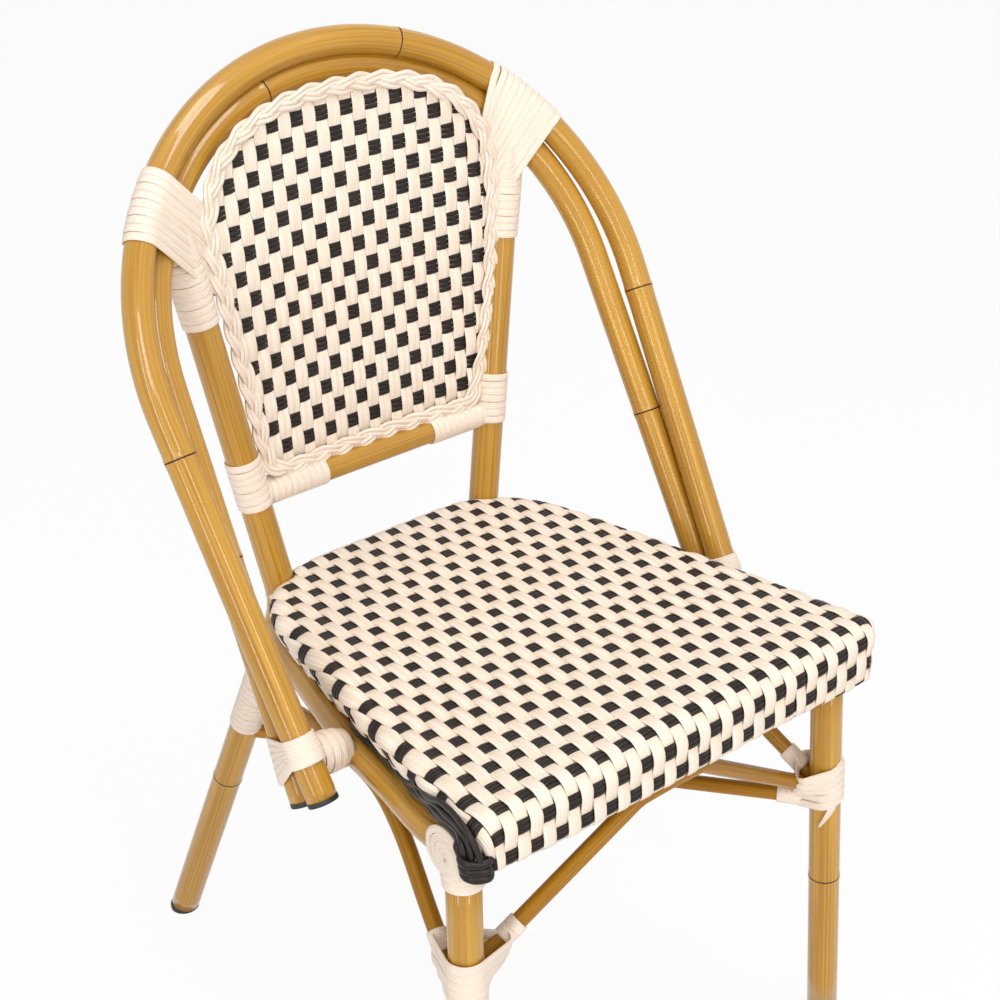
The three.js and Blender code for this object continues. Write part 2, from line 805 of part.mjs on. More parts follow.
// The woven sheet: a bowed slab, leaned like the panel, cut to the outline
function panelSheetSolid() {
  const front = [];
  const rear = [];
  for (let i = 0; i <= sheetColumns; i += 1) {
    const x = (i / sheetColumns - 1 / 2) * 2 * (panelHipHalf + braidWidth);
    front.push(new THREE.Vector2(x, panelFace(x, panelFaceHeight)));
    rear.unshift(new THREE.Vector2(x, panelFace(x, panelFaceHeight) + panelSheet));
  }
  const profile = new THREE.Shape([...front, ...rear]);
  const low = panelFootHeight - overrun;
  const high = panelTopHeight + overrun;
  const slabGeometry = new THREE.ExtrudeGeometry(profile, { depth: high - low, bevelEnabled: false });
  const lean = new THREE.Matrix4().makeShear(0, 0, 0, 0, 0, Math.tan(radians(panelLean)));
  slabGeometry.translate(0, 0, low - panelFaceHeight);
  slabGeometry.applyMatrix4(lean);
  slabGeometry.translate(0, 0, panelFaceHeight);
  const outline = new THREE.Shape(panelOutline().getPoints(outlineSteps));
  const cutter = new THREE.ExtrudeGeometry(outline, { depth: rearFootDepth, bevelEnabled: false });
  cutter.rotateX(Math.PI / 2);
  cutter.translate(0, rearFootDepth, 0);
  return solidOf(slabGeometry).intersect(solidOf(cutter));
}

function buildBack() {
  const group = new THREE.Group();
  const posts = postCuts(lashedGap(legTube));
  const hoopCut = envelope(routes.innerHoop, hoopTube);
  const lumbarCut = envelope(lumbarRoute(), lumbarTube, lashedGap(lumbarTube) + clearance);
  const tube = solidOf(panelLoop(panelTube, panelTube, panelTubeInset, panelTubeSides, panelTubeStep))
    .subtract(hoopCut)
    .subtract(lumbarCut);
  group.add(meshOf('back_frame', tube, bareTube));
  const wide = panelTube + 2 * clearance;
  const tubeCut = solidOf(panelLoop(wide, wide, panelTubeInset, panelTubeSides, panelTubeStep));
  const sheet = panelSheetSolid().subtract(tubeCut);
  group.add(meshOf('back_weave', sheet, creamWeave));
  const braidInset = -braidThickness / 2 - clearance;
  const braid = solidOf(panelLoop(braidWidth, braidThickness, braidInset, braidSides))
    .subtract(posts)
    .subtract(hoopCut)
    .subtract(lumbarCut);
  group.add(meshOf('back_braid', braid, cream));
  return group;
}

// Lashings

// The polygon of each turn has flat sides, so its corners stand out by this ratio.
const turnSpread = 1 / Math.cos(Math.PI / turnSteps);

// Room that a wound tube needs round it, beyond its own surface
function lashedGap(diameter) {
  const middle = (diameter / 2 + clearance + strandThickness / 2) * turnSpread;
  return middle + strandThickness / 2 + clearance - diameter / 2;
}

const strandGaps = [];

// Least gap of a strand to itself, between points at least three quarters of a turn apart
function leastGap(rings) {
  let least = Infinity;
  for (let i = 0; i < rings.length; i += 1) {
    for (let j = i + (turnSteps * 3) / 4; j < rings.length; j += 1) {
      for (const a of rings[i]) {
        for (const b of rings[j]) least = Math.min(least, a.distanceTo(b));
      }
    }
  }
  return least;
}

// A flat strand wound round one tube, or round two that lie side by side. core(travel) gives the
// centres of the tubes, the direction along them and a direction to count angles from, which is the
// line from tube to tube where there are two. Each turn follows the tight outline of the tubes, with
// its flat runs square to that line. shift(turn) moves the strand along them.
function windStrand(name, core, turns, shift = () => 0) {
  const rings = [];
  for (let step = 0; step <= turns * turnSteps; step += 1) {
    const turn = step / turnSteps;
    const angle = turn * 2 * Math.PI;
    const travel = turn * strandPitch + shift(turn);
    const { discs, along, start } = core(travel);
    const first = start.clone().addScaledVector(along, -start.dot(along)).normalize();
    const second = along.clone().cross(first);
    const heading = discs.length > 1 ? angle + Math.PI / turnSteps : angle;
    const outward = first.multiplyScalar(Math.cos(heading)).addScaledVector(second, Math.sin(heading));
    let best = null;
    for (const disc of discs) {
      const reach = (disc.radius + clearance + strandThickness / 2) * turnSpread;
      const point = disc.centre.clone().addScaledVector(outward, reach);
      if (!best || point.dot(outward) > best.dot(outward)) best = point;
    }
    const ring = [];
    for (const [wide, thick] of [[-1, -1], [1, -1], [1, 1], [-1, 1]]) {
      const corner = best.clone();
      corner.addScaledVector(along, (wide * strandWidth) / 2);
      corner.addScaledVector(outward, (thick * strandThickness) / 2);
      ring.push(corner);
    }
    rings.push(ring);
  }
  strandGaps.push([name, leastGap(rings)]);
  return meshOf(name, sweep(rings, false), cream);
}

// A core along one straight tube from a point
function straightCore(from, to, diameter, start) {
  const along = to.clone().sub(from).normalize();
  return (travel) => ({
    discs: [{ centre: from.clone().addScaledVector(along, travel), radius: diameter / 2 }],
    along,
    start,
  });
}

// A core along the arcs of both hoops, from an angle on them towards the top
function hoopArcCore(side, degrees) {
  return (travel) => {
    const innerEdge = innerHoop.radius - hoopTube * innerEdgeShare;
    const angle = degrees + THREE.MathUtils.radToDeg(travel / innerEdge);
    const points = [outerHoop, innerHoop].map((hoop) => hoopPoint(hoop, angle));
    const ahead = hoopPoint(outerHoop, angle + 1);
    const along = ahead.sub(points[0]).normalize();
    along.x *= side;
    const discs = points.map((point) => ({
      centre: spot(side * point.x, point.y, point.z),
      radius: hoopTube / 2,
    }));
    return { discs, along, start: discs[1].centre.clone().sub(discs[0].centre) };
  };
}

// A core along the straight legs of both hoops
function hoopLegCore(side, rise) {
  const lean = radians((outerHoop.lean + innerHoop.lean) / 2);
  const along = spot(0, Math.sin(lean), Math.cos(lean));
  return (travel) => {
    const outer = hoopLegAt(outerHoop, side, rise + travel);
    const guess = hoopLegAt(innerHoop, side, rise + travel);
    const inner = hoopLegAt(innerHoop, side, rise + travel - guess.sub(outer).dot(along));
    const discs = [outer, inner].map((centre) => ({ centre, radius: hoopTube / 2 }));
    return { discs, along, start: inner.clone().sub(outer) };
  };
}

function rearShift(turn) {
  const climb = (turn - rearClimbTurn) * 2;
  return rearClimb * THREE.MathUtils.smoothstep(climb, 0, 1);
}

function frontShift(turn) {
  return frontLashingTilt * (1 - Math.cos(turn * 2 * Math.PI));
}

// A flat snail of strand on the outer side of the rail's corner
function rosette(name, side) {
  const head = frontHead(side);
  const away = Math.abs(head.x) + legTube / 2 + clearance * 4 + strandThickness / 2;
  const turns = (rosetteRadius - rosetteStart) / rosettePitch;
  const width = rosettePitch - clearance * 2;
  const rings = [];
  for (let step = 0; step <= turns * rosetteSteps; step += 1) {
    const angle = (step / rosetteSteps) * 2 * Math.PI;
    const radius = rosetteStart + (step / rosetteSteps) * rosettePitch;
    const outward = spot(0, Math.cos(angle), Math.sin(angle));
    const ring = [];
    for (const [wide, thick] of [[-1, -1], [1, -1], [1, 1], [-1, 1]]) {
      const corner = spot(side * (away + (thick * strandThickness) / 2), head.y, head.z);
      corner.addScaledVector(outward, radius + (wide * width) / 2);
      ring.push(corner);
    }
    rings.push(ring);
  }
  strandGaps.push([name, leastGap(rings)]);
  return meshOf(name, sweep(rings, false), cream);
}

function buildLashings() {
  const group = new THREE.Group();
  const forward = spot(0, -1, 0);
  for (const [side, hand] of [[-1, 'left'], [1, 'right']]) {
    const wind = (place, ...rest) => group.add(windStrand(`${place}_${hand}`, ...rest));
    const head = postHead(side);
    wind('hoop_lashing', hoopArcCore(side, hoopLashingAngle), hoopLashingTurns);
    const postLow = postAt(side, postLashingHeight);
    wind('post_lashing', straightCore(postLow, head, legTube, forward), postLashingTurns);
    const waist = postAt(side, waistLashingHeight);
    wind('waist_lashing', straightCore(waist, head, legTube, forward), waistLashingTurns);
    const lumbarStart = spot(side * lumbarLashingReach[hand], lumbarDepth, lumbarHeight);
    const lumbarEnd = postAt(side, lumbarHeight).setY(lumbarDepth);
    const lumbarRun = lumbarStart.distanceTo(lumbarEnd) - legTube / 2;
    const lumbarTurns = Math.floor(lumbarRun / strandPitch) - 1;
    const lumbarCore = straightCore(lumbarStart, lumbarEnd, lumbarTube, forward);
    wind('lumbar_lashing', lumbarCore, lumbarTurns);
    wind('hoop_foot_lashing', hoopLegCore(side, hoopFootLashingRise), hoopFootLashingTurns);
    const [stubFrom, stubTo] = [stubRoute(side).getPoint(0), stubRoute(side).getPoint(1)];
    const stubStart = beyond(stubFrom, stubTo, -(railTube / 2 + strandPitch));
    const stubCore = straightCore(stubStart, stubTo, stubTube, spot(0, 0, 1));
    wind('stub_lashing', stubCore, stubLashingTurns);
    const rearLow = rearLegAt(side, rearLashingHeight);
    const rearCore = straightCore(rearLow, postBend(side), legTube, spot(side, 1, 0));
    wind('rear_leg_lashing', rearCore, rearLashingTurns, rearShift);
    const frontLow = frontLegAt(side, frontLashingHeight);
    const frontCore = straightCore(frontLow, frontHead(side), legTube, spot(-side, 3, 0));
    wind('front_leg_lashing', frontCore, frontLashingTurns, frontShift);
    const collarLow = frontLegAt(side, collarHeight);
    const collarCore = straightCore(collarLow, frontHead(side), legTube, forward);
    wind('front_collar', collarCore, collarTurns);
    group.add(rosette(`corner_rosette_${hand}`, side));
  }
  return group;
}

const chair = new THREE.Group();
chair.add(buildHoops(), buildLegs(), buildRails(), buildBraces());
chair.add(buildSeat(), buildBack(), buildLashings());
for (const [name, gap] of strandGaps) console.log(`${name}: least gap ${gap.toFixed(2)} mm`);

// The origin is moved under the middle of the chair's depth.
const bounds = new THREE.Box3().setFromObject(chair);
chair.position.y = -(bounds.min.y + bounds.max.y) / 2;

export default chair;
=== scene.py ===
import math

import bpy
import numpy as np
from mathutils import Matrix, Vector


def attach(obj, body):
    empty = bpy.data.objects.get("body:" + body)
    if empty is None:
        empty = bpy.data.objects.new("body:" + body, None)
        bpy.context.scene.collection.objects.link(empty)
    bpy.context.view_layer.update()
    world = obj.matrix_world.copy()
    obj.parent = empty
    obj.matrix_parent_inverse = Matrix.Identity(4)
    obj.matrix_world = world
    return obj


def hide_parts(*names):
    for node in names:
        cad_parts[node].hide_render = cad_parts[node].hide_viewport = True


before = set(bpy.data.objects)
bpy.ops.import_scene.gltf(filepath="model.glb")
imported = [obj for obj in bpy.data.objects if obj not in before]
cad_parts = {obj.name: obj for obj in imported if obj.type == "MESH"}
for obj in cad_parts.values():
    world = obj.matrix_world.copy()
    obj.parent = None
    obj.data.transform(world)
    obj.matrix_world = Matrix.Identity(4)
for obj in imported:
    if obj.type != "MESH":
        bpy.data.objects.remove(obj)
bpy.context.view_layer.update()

# Lengths are in millimetres until a piece's vertices are placed. Depths are counted from a row of the
# seat weave near the pad's front, and the frame's own zero lies this far behind it.
MM = 0.001
DEPTH_ZERO = np.array([0.0, 280.809448, 0.0])

SEAT_TOP, RAIL_HEIGHT = 445.0, 390.0
# Radii of the tubes.
LEG_R, HOOP_R, RAIL_R, STUB_R, LUMBAR_R, BRACE_R = 14.0, 12.8, 12.5, 12.0, 11.0, 7.0
SIDES = ((-1, "left"), (1, "right"))


def vec(*numbers):
    return np.array(numbers, float)


def unit(v):
    return v / np.linalg.norm(v, axis=-1, keepdims=True)


def mirrored(points, side):
    """Points of the right side, moved over to the left one where side is -1."""
    return np.asarray(points, float) * vec(side, 1, 1)


# Camera, light and floor

def set_camera():
    """The photo's own camera, fitted to the chair's edges and to the rows of its weave."""
    focal_px, photo_px, sensor_mm, roll = 1870.9, 1000.0, 36.0, -0.03138
    fwd = Vector((0.5562, 0.6945, -0.4563)).normalized()
    flat = Vector((0.7806, -0.6251, 0.0)).normalized()
    rise = flat.cross(fwd)
    right = flat * math.cos(roll) + rise * math.sin(roll)
    up = rise * math.cos(roll) - flat * math.sin(roll)
    bpy.ops.object.camera_add(location=(-0.86428, -1.13825, 1.25276))
    camera = bpy.context.object
    camera.name = "photo_camera"
    turn = Matrix((right, up, -fwd)).transposed()
    camera.rotation_euler = turn.to_euler()
    camera.data.sensor_width = sensor_mm
    camera.data.lens = focal_px * sensor_mm / photo_px
    camera.data.clip_end = 50.0
    bpy.context.scene.camera = camera


class Wire:
    """A socket of a material's node. Sums written on it become Math nodes."""

    def __init__(self, tree, socket=None):
        self.tree = tree
        self.socket = socket

    def node(self, kind, settings=None, inputs=None, output=0):
        made = self.tree.nodes.new(kind)
        for key, value in (settings or {}).items():
            setattr(made, key, value)
        for key, value in (inputs or {}).items():
            if isinstance(value, Wire):
                self.tree.links.new(value.socket, made.inputs[key])
            else:
                made.inputs[key].default_value = value
        return Wire(self.tree, made.outputs[output] if made.outputs else None)

    def math(self, operation, *values):
        return self.node("ShaderNodeMath", {"operation": operation}, dict(enumerate(values)))

    def __add__(self, other):
        return self.math("ADD", self, other)

    def __radd__(self, other):
        return self.math("ADD", other, self)

    def __sub__(self, other):
        return self.math("SUBTRACT", self, other)

    def __rsub__(self, other):
        return self.math("SUBTRACT", other, self)

    def __mul__(self, other):
        return self.math("MULTIPLY", self, other)

    def __rmul__(self, other):
        return self.math("MULTIPLY", other, self)


def blended(a, b, share):
    """Two colours mixed by a share, which may be a number or a wire."""
    base = next(w for w in (share, a, b) if isinstance(w, Wire))
    settings = {"data_type": "RGBA", "blend_type": "MIX", "clamp_factor": True}
    first, second = [w if isinstance(w, Wire) else (*w, 1.0) for w in (a, b)]
    return base.node("ShaderNodeMix", settings, {0: share, 6: first, 7: second}, output=2)


def finish(name, make):
    """A material whose changing inputs come from make(wire), a dict of the shader's sockets."""
    material = bpy.data.materials.new(name)
    material.use_nodes = True
    tree = material.node_tree
    tree.nodes.clear()
    wire = Wire(tree)
    shader = wire.node("ShaderNodeBsdfPrincipled", None, make(wire))
    wire.node("ShaderNodeOutputMaterial", None, {"Surface": shader})
    return material


def strip_place(wire):
    """(across, along) on a strip or tube, in metres, as the piece's own UV map gives them."""
    uv = wire.node("ShaderNodeUVMap", {"uv_map": "UVMap"})
    across = wire.node("ShaderNodeSeparateXYZ", None, {0: uv}, output=0)
    along = wire.node("ShaderNodeSeparateXYZ", None, {0: uv}, output=1)
    return across, along


def marked(wire):
    """The piece's own mark: 1 in a growth ring of a tube; on the seat's cream strands, how deep a strand
    dives, which the cream finish paints as shade.
    """
    return wire.node("ShaderNodeAttribute", {"attribute_name": "ring"}, None, output=2)


def streaks(wire, strip, per_metre, layer, detail=2.0, rough=0.5):
    """Noise on a strip, with so many waves per metre across and along it. Each layer has its own."""
    across, along = strip[0] * per_metre[0], strip[1] * per_metre[1]
    place = wire.node("ShaderNodeCombineXYZ", None, {0: across, 1: along, 2: layer})
    return wire.node("ShaderNodeTexNoise", None,
                     {"Vector": place, "Scale": 1.0, "Detail": detail, "Roughness": rough})


def spread(wire, value, low, high):
    """A value stretched from low..high to 0..1."""
    return wire.node("ShaderNodeMapRange", {"clamp": True},
                     {"Value": value, "From Min": low, "From Max": high})


def bumped(wire, height, strength, distance):
    return wire.node("ShaderNodeBump", None,
                     {"Height": height, "Strength": strength, "Distance": distance})


RING_BROWN = (0.045, 0.016, 0.004)
# CREAM_BLUSH is a warmer tone in random patches; the second colour is painted shade, laid where a cream
# strand dives under another.
CREAM_BLUSH, CREAM_DIVE_SHADE = (0.90, 0.68, 0.50), (0.80, 0.60, 0.41)


def bamboo_finish(name, dark, light, tone, coat):
    """A bamboo coating: grain along the tube, patches of another tone and brown growth rings."""
    def make(wire):
        strip = strip_place(wire)
        ring = marked(wire)
        fine = streaks(wire, strip, (620.0, 5.0), 0.0, 3.0, 0.6)
        broad = streaks(wire, strip, (130.0, 2.2), 4.0)
        patch = streaks(wire, strip, (20.0, 7.0), 9.0)
        near = streaks(wire, strip, (400.0, 60.0), 2.0, 2.0, 0.6)
        grain = spread(wire, fine * 0.55 + broad * 0.45, 0.36, 0.64)
        gold = blended(dark, light, grain)
        gold = blended(gold, tone, spread(wire, patch, 0.45, 0.75) * 0.45)
        ringed = spread(wire, ring + (near - 0.5) * 0.5, 0.45, 0.8)
        return {
            "Base Color": blended(gold, RING_BROWN, ringed),
            "Roughness": 0.34 + grain * 0.08 + ringed * 0.3,
            "Normal": bumped(wire, fine * 0.6 + broad * 0.4, 0.06, 0.0004),
            "Coat Weight": coat - ringed * coat * 0.6,
            "Coat Roughness": 0.07,
            "Coat IOR": 1.45,
            "Specular IOR Level": coat * 0.25,
        }
    return finish(name, make)


def cream_finish(name, base, shade, rib_pitch):
    """Flat cream strand, with ribs along it at a pitch in millimetres, and painted shade where it dives
    under another.
    """
    def make(wire):
        strip = strip_place(wire)
        fine = streaks(wire, strip, (1900.0, 9.0), 0.0, 3.0, 0.6)
        broad = streaks(wire, strip, (300.0, 14.0), 5.0)
        blotch = streaks(wire, strip, (60.0, 45.0), 8.0)
        lines = spread(wire, fine * 0.5 + broad * 0.5, 0.34, 0.66)
        colour = blended(shade, base, lines)
        colour = blended(colour, CREAM_BLUSH, spread(wire, blotch, 0.5, 0.8) * 0.30)
        # Painted shade: darker where the strand dives under another.
        colour = blended(colour, CREAM_DIVE_SHADE, spread(wire, marked(wire), 0.35, 1.0) * 0.6)
        rib = wire.math("COSINE", strip[0] * (2 * math.pi / MM / rib_pitch))
        return {
            "Base Color": colour,
            "Roughness": 0.42 + lines * 0.12,
            "Normal": bumped(wire, fine * 0.35 + broad * 0.35 + rib * 0.3, 0.6, 0.0007),
            "Specular IOR Level": 0.3,
        }
    return finish(name, make)


def black_finish(name, base, light, rough):
    """Black strand with faint lines along it."""
    def make(wire):
        strip = strip_place(wire)
        fine = streaks(wire, strip, (1500.0, 10.0), 0.0, 3.0, 0.6)
        broad = streaks(wire, strip, (350.0, 30.0), 3.0)
        height = fine * 0.5 + broad * 0.5
        lines = spread(wire, height, 0.36, 0.66)
        return {
            "Base Color": blended(base, light, lines),
            "Roughness": rough + lines * 0.12,
            "Normal": bumped(wire, height, 0.4, 0.0006),
            "Specular IOR Level": 0.26,
        }
    return finish(name, make)


def speckled_finish(name, base, other, rough, metal):
    """Moulded rubber and bare tube, whose pattern runs on the piece's own place in space."""
    def make(wire):
        place = wire.node("ShaderNodeTexCoord", None, None, output=3)
        grit = wire.node("ShaderNodeTexNoise", None, {"Vector": place, "Scale": 900.0, "Detail": 3.0})
        cloud = wire.node("ShaderNodeTexNoise", None, {"Vector": place, "Scale": 40.0, "Detail": 2.0})
        return {
            "Base Color": blended(base, other, spread(wire, cloud, 0.35, 0.7)),
            "Roughness": rough + grit * 0.2,
            "Metallic": metal,
            "Normal": bumped(wire, grit, 0.2, 0.0003),
        }
    return finish(name, make)


BAMBOO = bamboo_finish("golden_bamboo_coating",
                       (0.35, 0.155, 0.010), (0.62, 0.335, 0.040), (0.52, 0.275, 0.05), 0.8)
# Painted shade: the braces low under the seat get a darker copy of the coating than the other tubes.
BAMBOO_SHADED_BRACE = bamboo_finish("bamboo_coating_painted_shaded_on_thin_tube",
                             (0.25, 0.10, 0.006), (0.52, 0.25, 0.014), (0.38, 0.17, 0.014), 0.3)
CREAM = cream_finish("cream_lashing_strand", (0.95, 0.845, 0.735), (0.83, 0.66, 0.52), 1.9)
CREAM_WEAVE = cream_finish("cream_weaving_strand", (0.97, 0.885, 0.78), (0.84, 0.67, 0.51), 2.3)
BLACK = black_finish("black_weaving_strand", (0.007, 0.005, 0.004), (0.034, 0.024, 0.018), 0.28)
RUBBER = speckled_finish("black_moulded_rubber", (0.012, 0.012, 0.012), (0.025, 0.024, 0.023), 0.45, 0.0)
BARE = speckled_finish("bare_aluminium_tube", (0.5, 0.5, 0.49), (0.62, 0.62, 0.6), 0.35, 1.0)


# Each lamp: its name, place, the point it is aimed at, its size, and its power in watts.
LAMPS = (
    ("key_box", (-1.5, -2.4, 2.9), (0.0, 0.0, 0.45), (0.9, 0.9), 27.0),
    ("left_strip", (-2.5, -1.1, 1.1), (0.0, 0.0, 0.55), (0.3, 2.6), 21.0),
    ("right_strip", (-0.5, -2.9, 1.2), (0.0, 0.0, 0.55), (0.3, 2.6), 21.0),
    ("top_strip", (0.3, -0.6, 3.0), (0.0, 0.0, 0.5), (0.5, 2.4), 34.0),
)
WHITE = (1.0, 1.0, 1.0, 1.0)


def set_light():
    """A studio that looks white, but lights the chair less than it looks, and four lamps."""
    scene = bpy.context.scene
    scene.view_settings.view_transform = "Standard"
    world = bpy.data.worlds.new("studio")
    scene.world = world
    world.use_nodes = True
    world.node_tree.nodes.clear()
    wire = Wire(world.node_tree)
    seen = wire.node("ShaderNodeLightPath", None, None, output="Is Camera Ray")
    glossy = wire.node("ShaderNodeLightPath", None, None, output="Is Glossy Ray")
    through = wire.node("ShaderNodeLightPath", None, None, output="Is Transmission Ray")
    shown = wire.math("MAXIMUM", wire.math("MAXIMUM", seen, glossy), through)
    level = 0.44 + shown * 0.56
    ground = wire.node("ShaderNodeBackground", None, {"Color": WHITE, "Strength": level})
    wire.node("ShaderNodeOutputWorld", None, {"Surface": ground})
    for name, place, aim, size, watts in LAMPS:
        bpy.ops.object.light_add(type="AREA", location=place)
        lamp = bpy.context.object
        lamp.name = name
        lamp.data.shape = "RECTANGLE"
        lamp.data.size, lamp.data.size_y = size
        lamp.data.energy = watts
        lamp.rotation_euler = (Vector(aim) - Vector(place)).to_track_quat("-Z", "Y").to_euler()


def set_floor():
    """A pale matt floor, which the camera sees nearly white."""
    bpy.ops.object.select_all(action="DESELECT")
    bpy.ops.mesh.primitive_plane_add(size=24.0, location=(0, 0, 0))
    floor = bpy.context.object
    floor.name = "floor"
    material = bpy.data.materials.new("pale_floor")
    material.use_nodes = True
    material.node_tree.nodes.clear()
    wire = Wire(material.node_tree)
    place = wire.node("ShaderNodeTexCoord", None, None, output=3)
    mottle = wire.node("ShaderNodeTexNoise", None, {"Vector": place, "Scale": 2.0})
    matt = wire.node("ShaderNodeBsdfDiffuse", None,
                     {"Color": blended((0.90, 0.90, 0.90), (0.94, 0.94, 0.94), mottle)})
    white = wire.node("ShaderNodeEmission", None, {"Color": WHITE, "Strength": 1.0})
    seen = wire.node("ShaderNodeLightPath", None, None, output="Is Camera Ray")
    glossy = wire.node("ShaderNodeLightPath", None, None, output="Is Glossy Ray")
    shown = wire.math("MAXIMUM", seen, glossy) * 0.93
    surface = wire.node("ShaderNodeMixShader", None, {0: shown, 1: matt, 2: white})
    wire.node("ShaderNodeOutputMaterial", None, {"Surface": surface})
    floor.data.materials.append(material)


# Sections, strands and joined pieces

def round_section(radius, sides):
    angle = np.arange(sides) / sides * 2 * math.pi
    return np.stack([np.cos(angle), np.sin(angle)], 1) * radius


def flat_section(width, thickness, sides, square):
    """A flat oval with full edges, as an extruded strand has, and fuller the more square it is."""
    angle = (np.arange(sides) + 0.5) / sides * 2 * math.pi
    c, s = np.cos(angle), np.sin(angle)
    x = np.sign(c) * np.abs(c) ** (2 / square) * width / 2
    y = np.sign(s) * np.abs(s) ** (2 / square) * thickness / 2
    return np.stack([x, y], 1)


def distances(path):
    """How far each point lies along a path."""
    return np.concatenate([[0], np.cumsum(np.linalg.norm(np.diff(path, axis=0), axis=1))])


def between(stops, run, points):
    """The places at some stops along points, where run says how far each of the points lies."""
    return np.stack([np.interp(stops, run, points[:, k]) for k in range(3)], 1)


def tangents(path, closed):
    if closed:
        ring = path[:-1]
        along = np.roll(ring, -1, 0) - np.roll(ring, 1, 0)
        return unit(np.vstack([along, along[:1]]))
    return unit(np.gradient(path, axis=0))


def laid(path, ups, section, closed=False, scale=None, ring=None):
    """A strand along a path: a section is set square to it at every point, with its second axis
    along ups."""
    path = np.asarray(path, float)
    ups = np.broadcast_to(np.asarray(ups, float), path.shape)
    along = tangents(path, closed)
    ups = unit(ups - along * np.sum(ups * along, 1, keepdims=True))
    across = np.cross(along, ups)
    scale = np.ones(len(path)) if scale is None else np.asarray(scale, float)
    spot = section[None] * scale[:, None, None]
    rings = path[:, None] + across[:, None] * spot[..., :1] + ups[:, None] * spot[..., 1:]
    return rolled(rings, path, section, ring)


def rolled(rings, path, section, ring=None):
    """Rolls a flat grid up through rings of points. UVs are metres across and along."""
    count, sides = len(path) - 1, len(section)
    bpy.ops.object.select_all(action="DESELECT")
    bpy.ops.mesh.primitive_grid_add(x_subdivisions=count, y_subdivisions=sides, size=1.0)
    piece = bpy.context.object
    mesh = piece.data
    flat = np.empty(len(mesh.vertices) * 3)
    mesh.vertices.foreach_get("co", flat)
    flat = flat.reshape(-1, 3)
    step = np.rint((flat[:, 0] + 0.5) * count).astype(int)
    turn = np.rint((flat[:, 1] + 0.5) * sides).astype(int)
    place = rings[step, turn % sides]
    mesh.vertices.foreach_set("co", ((place - DEPTH_ZERO) * MM).ravel())
    run = distances(path) * MM
    girth = distances(np.vstack([section, section[:1]])) * MM
    corner = np.empty(len(mesh.loops), int)
    mesh.loops.foreach_get("vertex_index", corner)
    uv = np.stack([girth[turn[corner]], run[step[corner]]], 1)
    mesh.uv_layers[0].data.foreach_set("uv", uv.ravel().astype(np.float32))
    mesh.uv_layers[0].name = "UVMap"
    marks = mesh.attributes.new("ring", "FLOAT", "POINT")
    level = np.zeros(len(path)) if ring is None else np.asarray(ring, float)
    marks.data.foreach_set("value", level[step].astype(np.float32))
    return piece


def joined(parts, name, material, stands_for=(), angle=None):
    """Parts become one piece: seams closed, ends filled, normals outwards."""
    bpy.ops.object.select_all(action="DESELECT")
    for part in parts:
        part.select_set(True)
    bpy.context.view_layer.objects.active = parts[0]
    if len(parts) > 1:
        bpy.ops.object.join()
    piece = bpy.context.object
    piece.name = name
    piece.data.name = name
    bpy.ops.object.mode_set(mode="EDIT")
    bpy.ops.mesh.select_all(action="SELECT")
    bpy.ops.mesh.remove_doubles(threshold=1e-6)
    bpy.ops.mesh.fill_holes(sides=0)
    bpy.ops.mesh.select_all(action="SELECT")
    bpy.ops.mesh.normals_make_consistent(inside=False)
    bpy.ops.object.mode_set(mode="OBJECT")
    if angle:
        bpy.ops.object.shade_smooth_by_angle(angle=math.radians(angle))
    else:
        bpy.ops.object.shade_smooth()
    piece.data.materials.clear()
    piece.data.materials.append(material)
    if stands_for:
        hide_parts(*stands_for)
    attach(piece, "root")


def resampled(points, step, closed=False):
    """Points set at even distances along a polyline."""
    points = np.asarray(points, float)
    if closed:
        points = np.vstack([points, points[:1]])
    run = distances(points)
    count = max(2, int(round(run[-1] / step)) + 1)
    return between(np.linspace(0, run[-1], count), run, points)


# A growth ring of bamboo: distances from its middle, and how far the tube swells and darkens there.
RING_STEPS = (-7.0, -4.0, -2.0, -0.9, -0.4, 0.4, 0.9, 2.0, 4.0, 7.0)
RING_SWELL = (0.0, 0.12, 0.35, 0.55, 0.25, 0.25, 0.55, 0.35, 0.12, 0.0)
RING_MARK = (0.0, 0.0, 0.05, 0.35, 1.0, 1.0, 0.35, 0.05, 0.0, 0.0)
RING_ROOM = 7.5


def tube(points, radius, step, rings=(), sides=36, up=(0.3, 0.2, 1.0)):
    """A tube along points, with growth rings at some distances along it."""
    path = np.asarray(points, float)
    run = distances(path)
    stops = list(np.linspace(0, run[-1], max(2, int(run[-1] / step) + 1)))
    swell, mark = {}, {}
    for centre in rings:
        stops = [s for s in stops if abs(s - centre) > RING_ROOM]
        for offset, size, dark in zip(RING_STEPS, RING_SWELL, RING_MARK):
            stops.append(centre + offset)
            swell[centre + offset] = size
            mark[centre + offset] = dark
    stops.sort()
    path = between(stops, run, path)
    scale = [1 + swell.get(s, 0.0) / radius for s in stops]
    level = [mark.get(s, 0.0) for s in stops]
    return laid(path, carried(path, up), round_section(radius, sides), scale=scale, ring=level)


def carried(path, up):
    """An up direction carried along a path without twist."""
    along = tangents(path, False)
    ups = [unit(vec(*up) - along[0] * np.dot(up, along[0]))]
    for k in range(1, len(path)):
        here = ups[-1] - along[k] * np.dot(ups[-1], along[k])
        ups.append(unit(here))
    return np.array(ups)


# Lines of the frame

# A hoop stands on the plane that leans back, by lean, from its root. Its arc has a radius round a
# centre, its legs draw in downwards by the angle toe, and they end below the seat's top. The centre
# and the end are measured up along that plane.
OUTER = dict(radius=245.7, centre=257.0, root=205.4, lean=29.09, toe=2.86, end=-73.0)
INNER = dict(radius=222.4, centre=247.3, root=235.5, lean=27.44, toe=-1.23, end=-88.0)


def on_hoop_plane(hoop, x, rise):
    lean = math.radians(hoop["lean"])
    x, rise = np.broadcast_arrays(np.asarray(x, float), np.asarray(rise, float))
    return np.stack([x, hoop["root"] + rise * math.sin(lean), SEAT_TOP + rise * math.cos(lean)], -1)


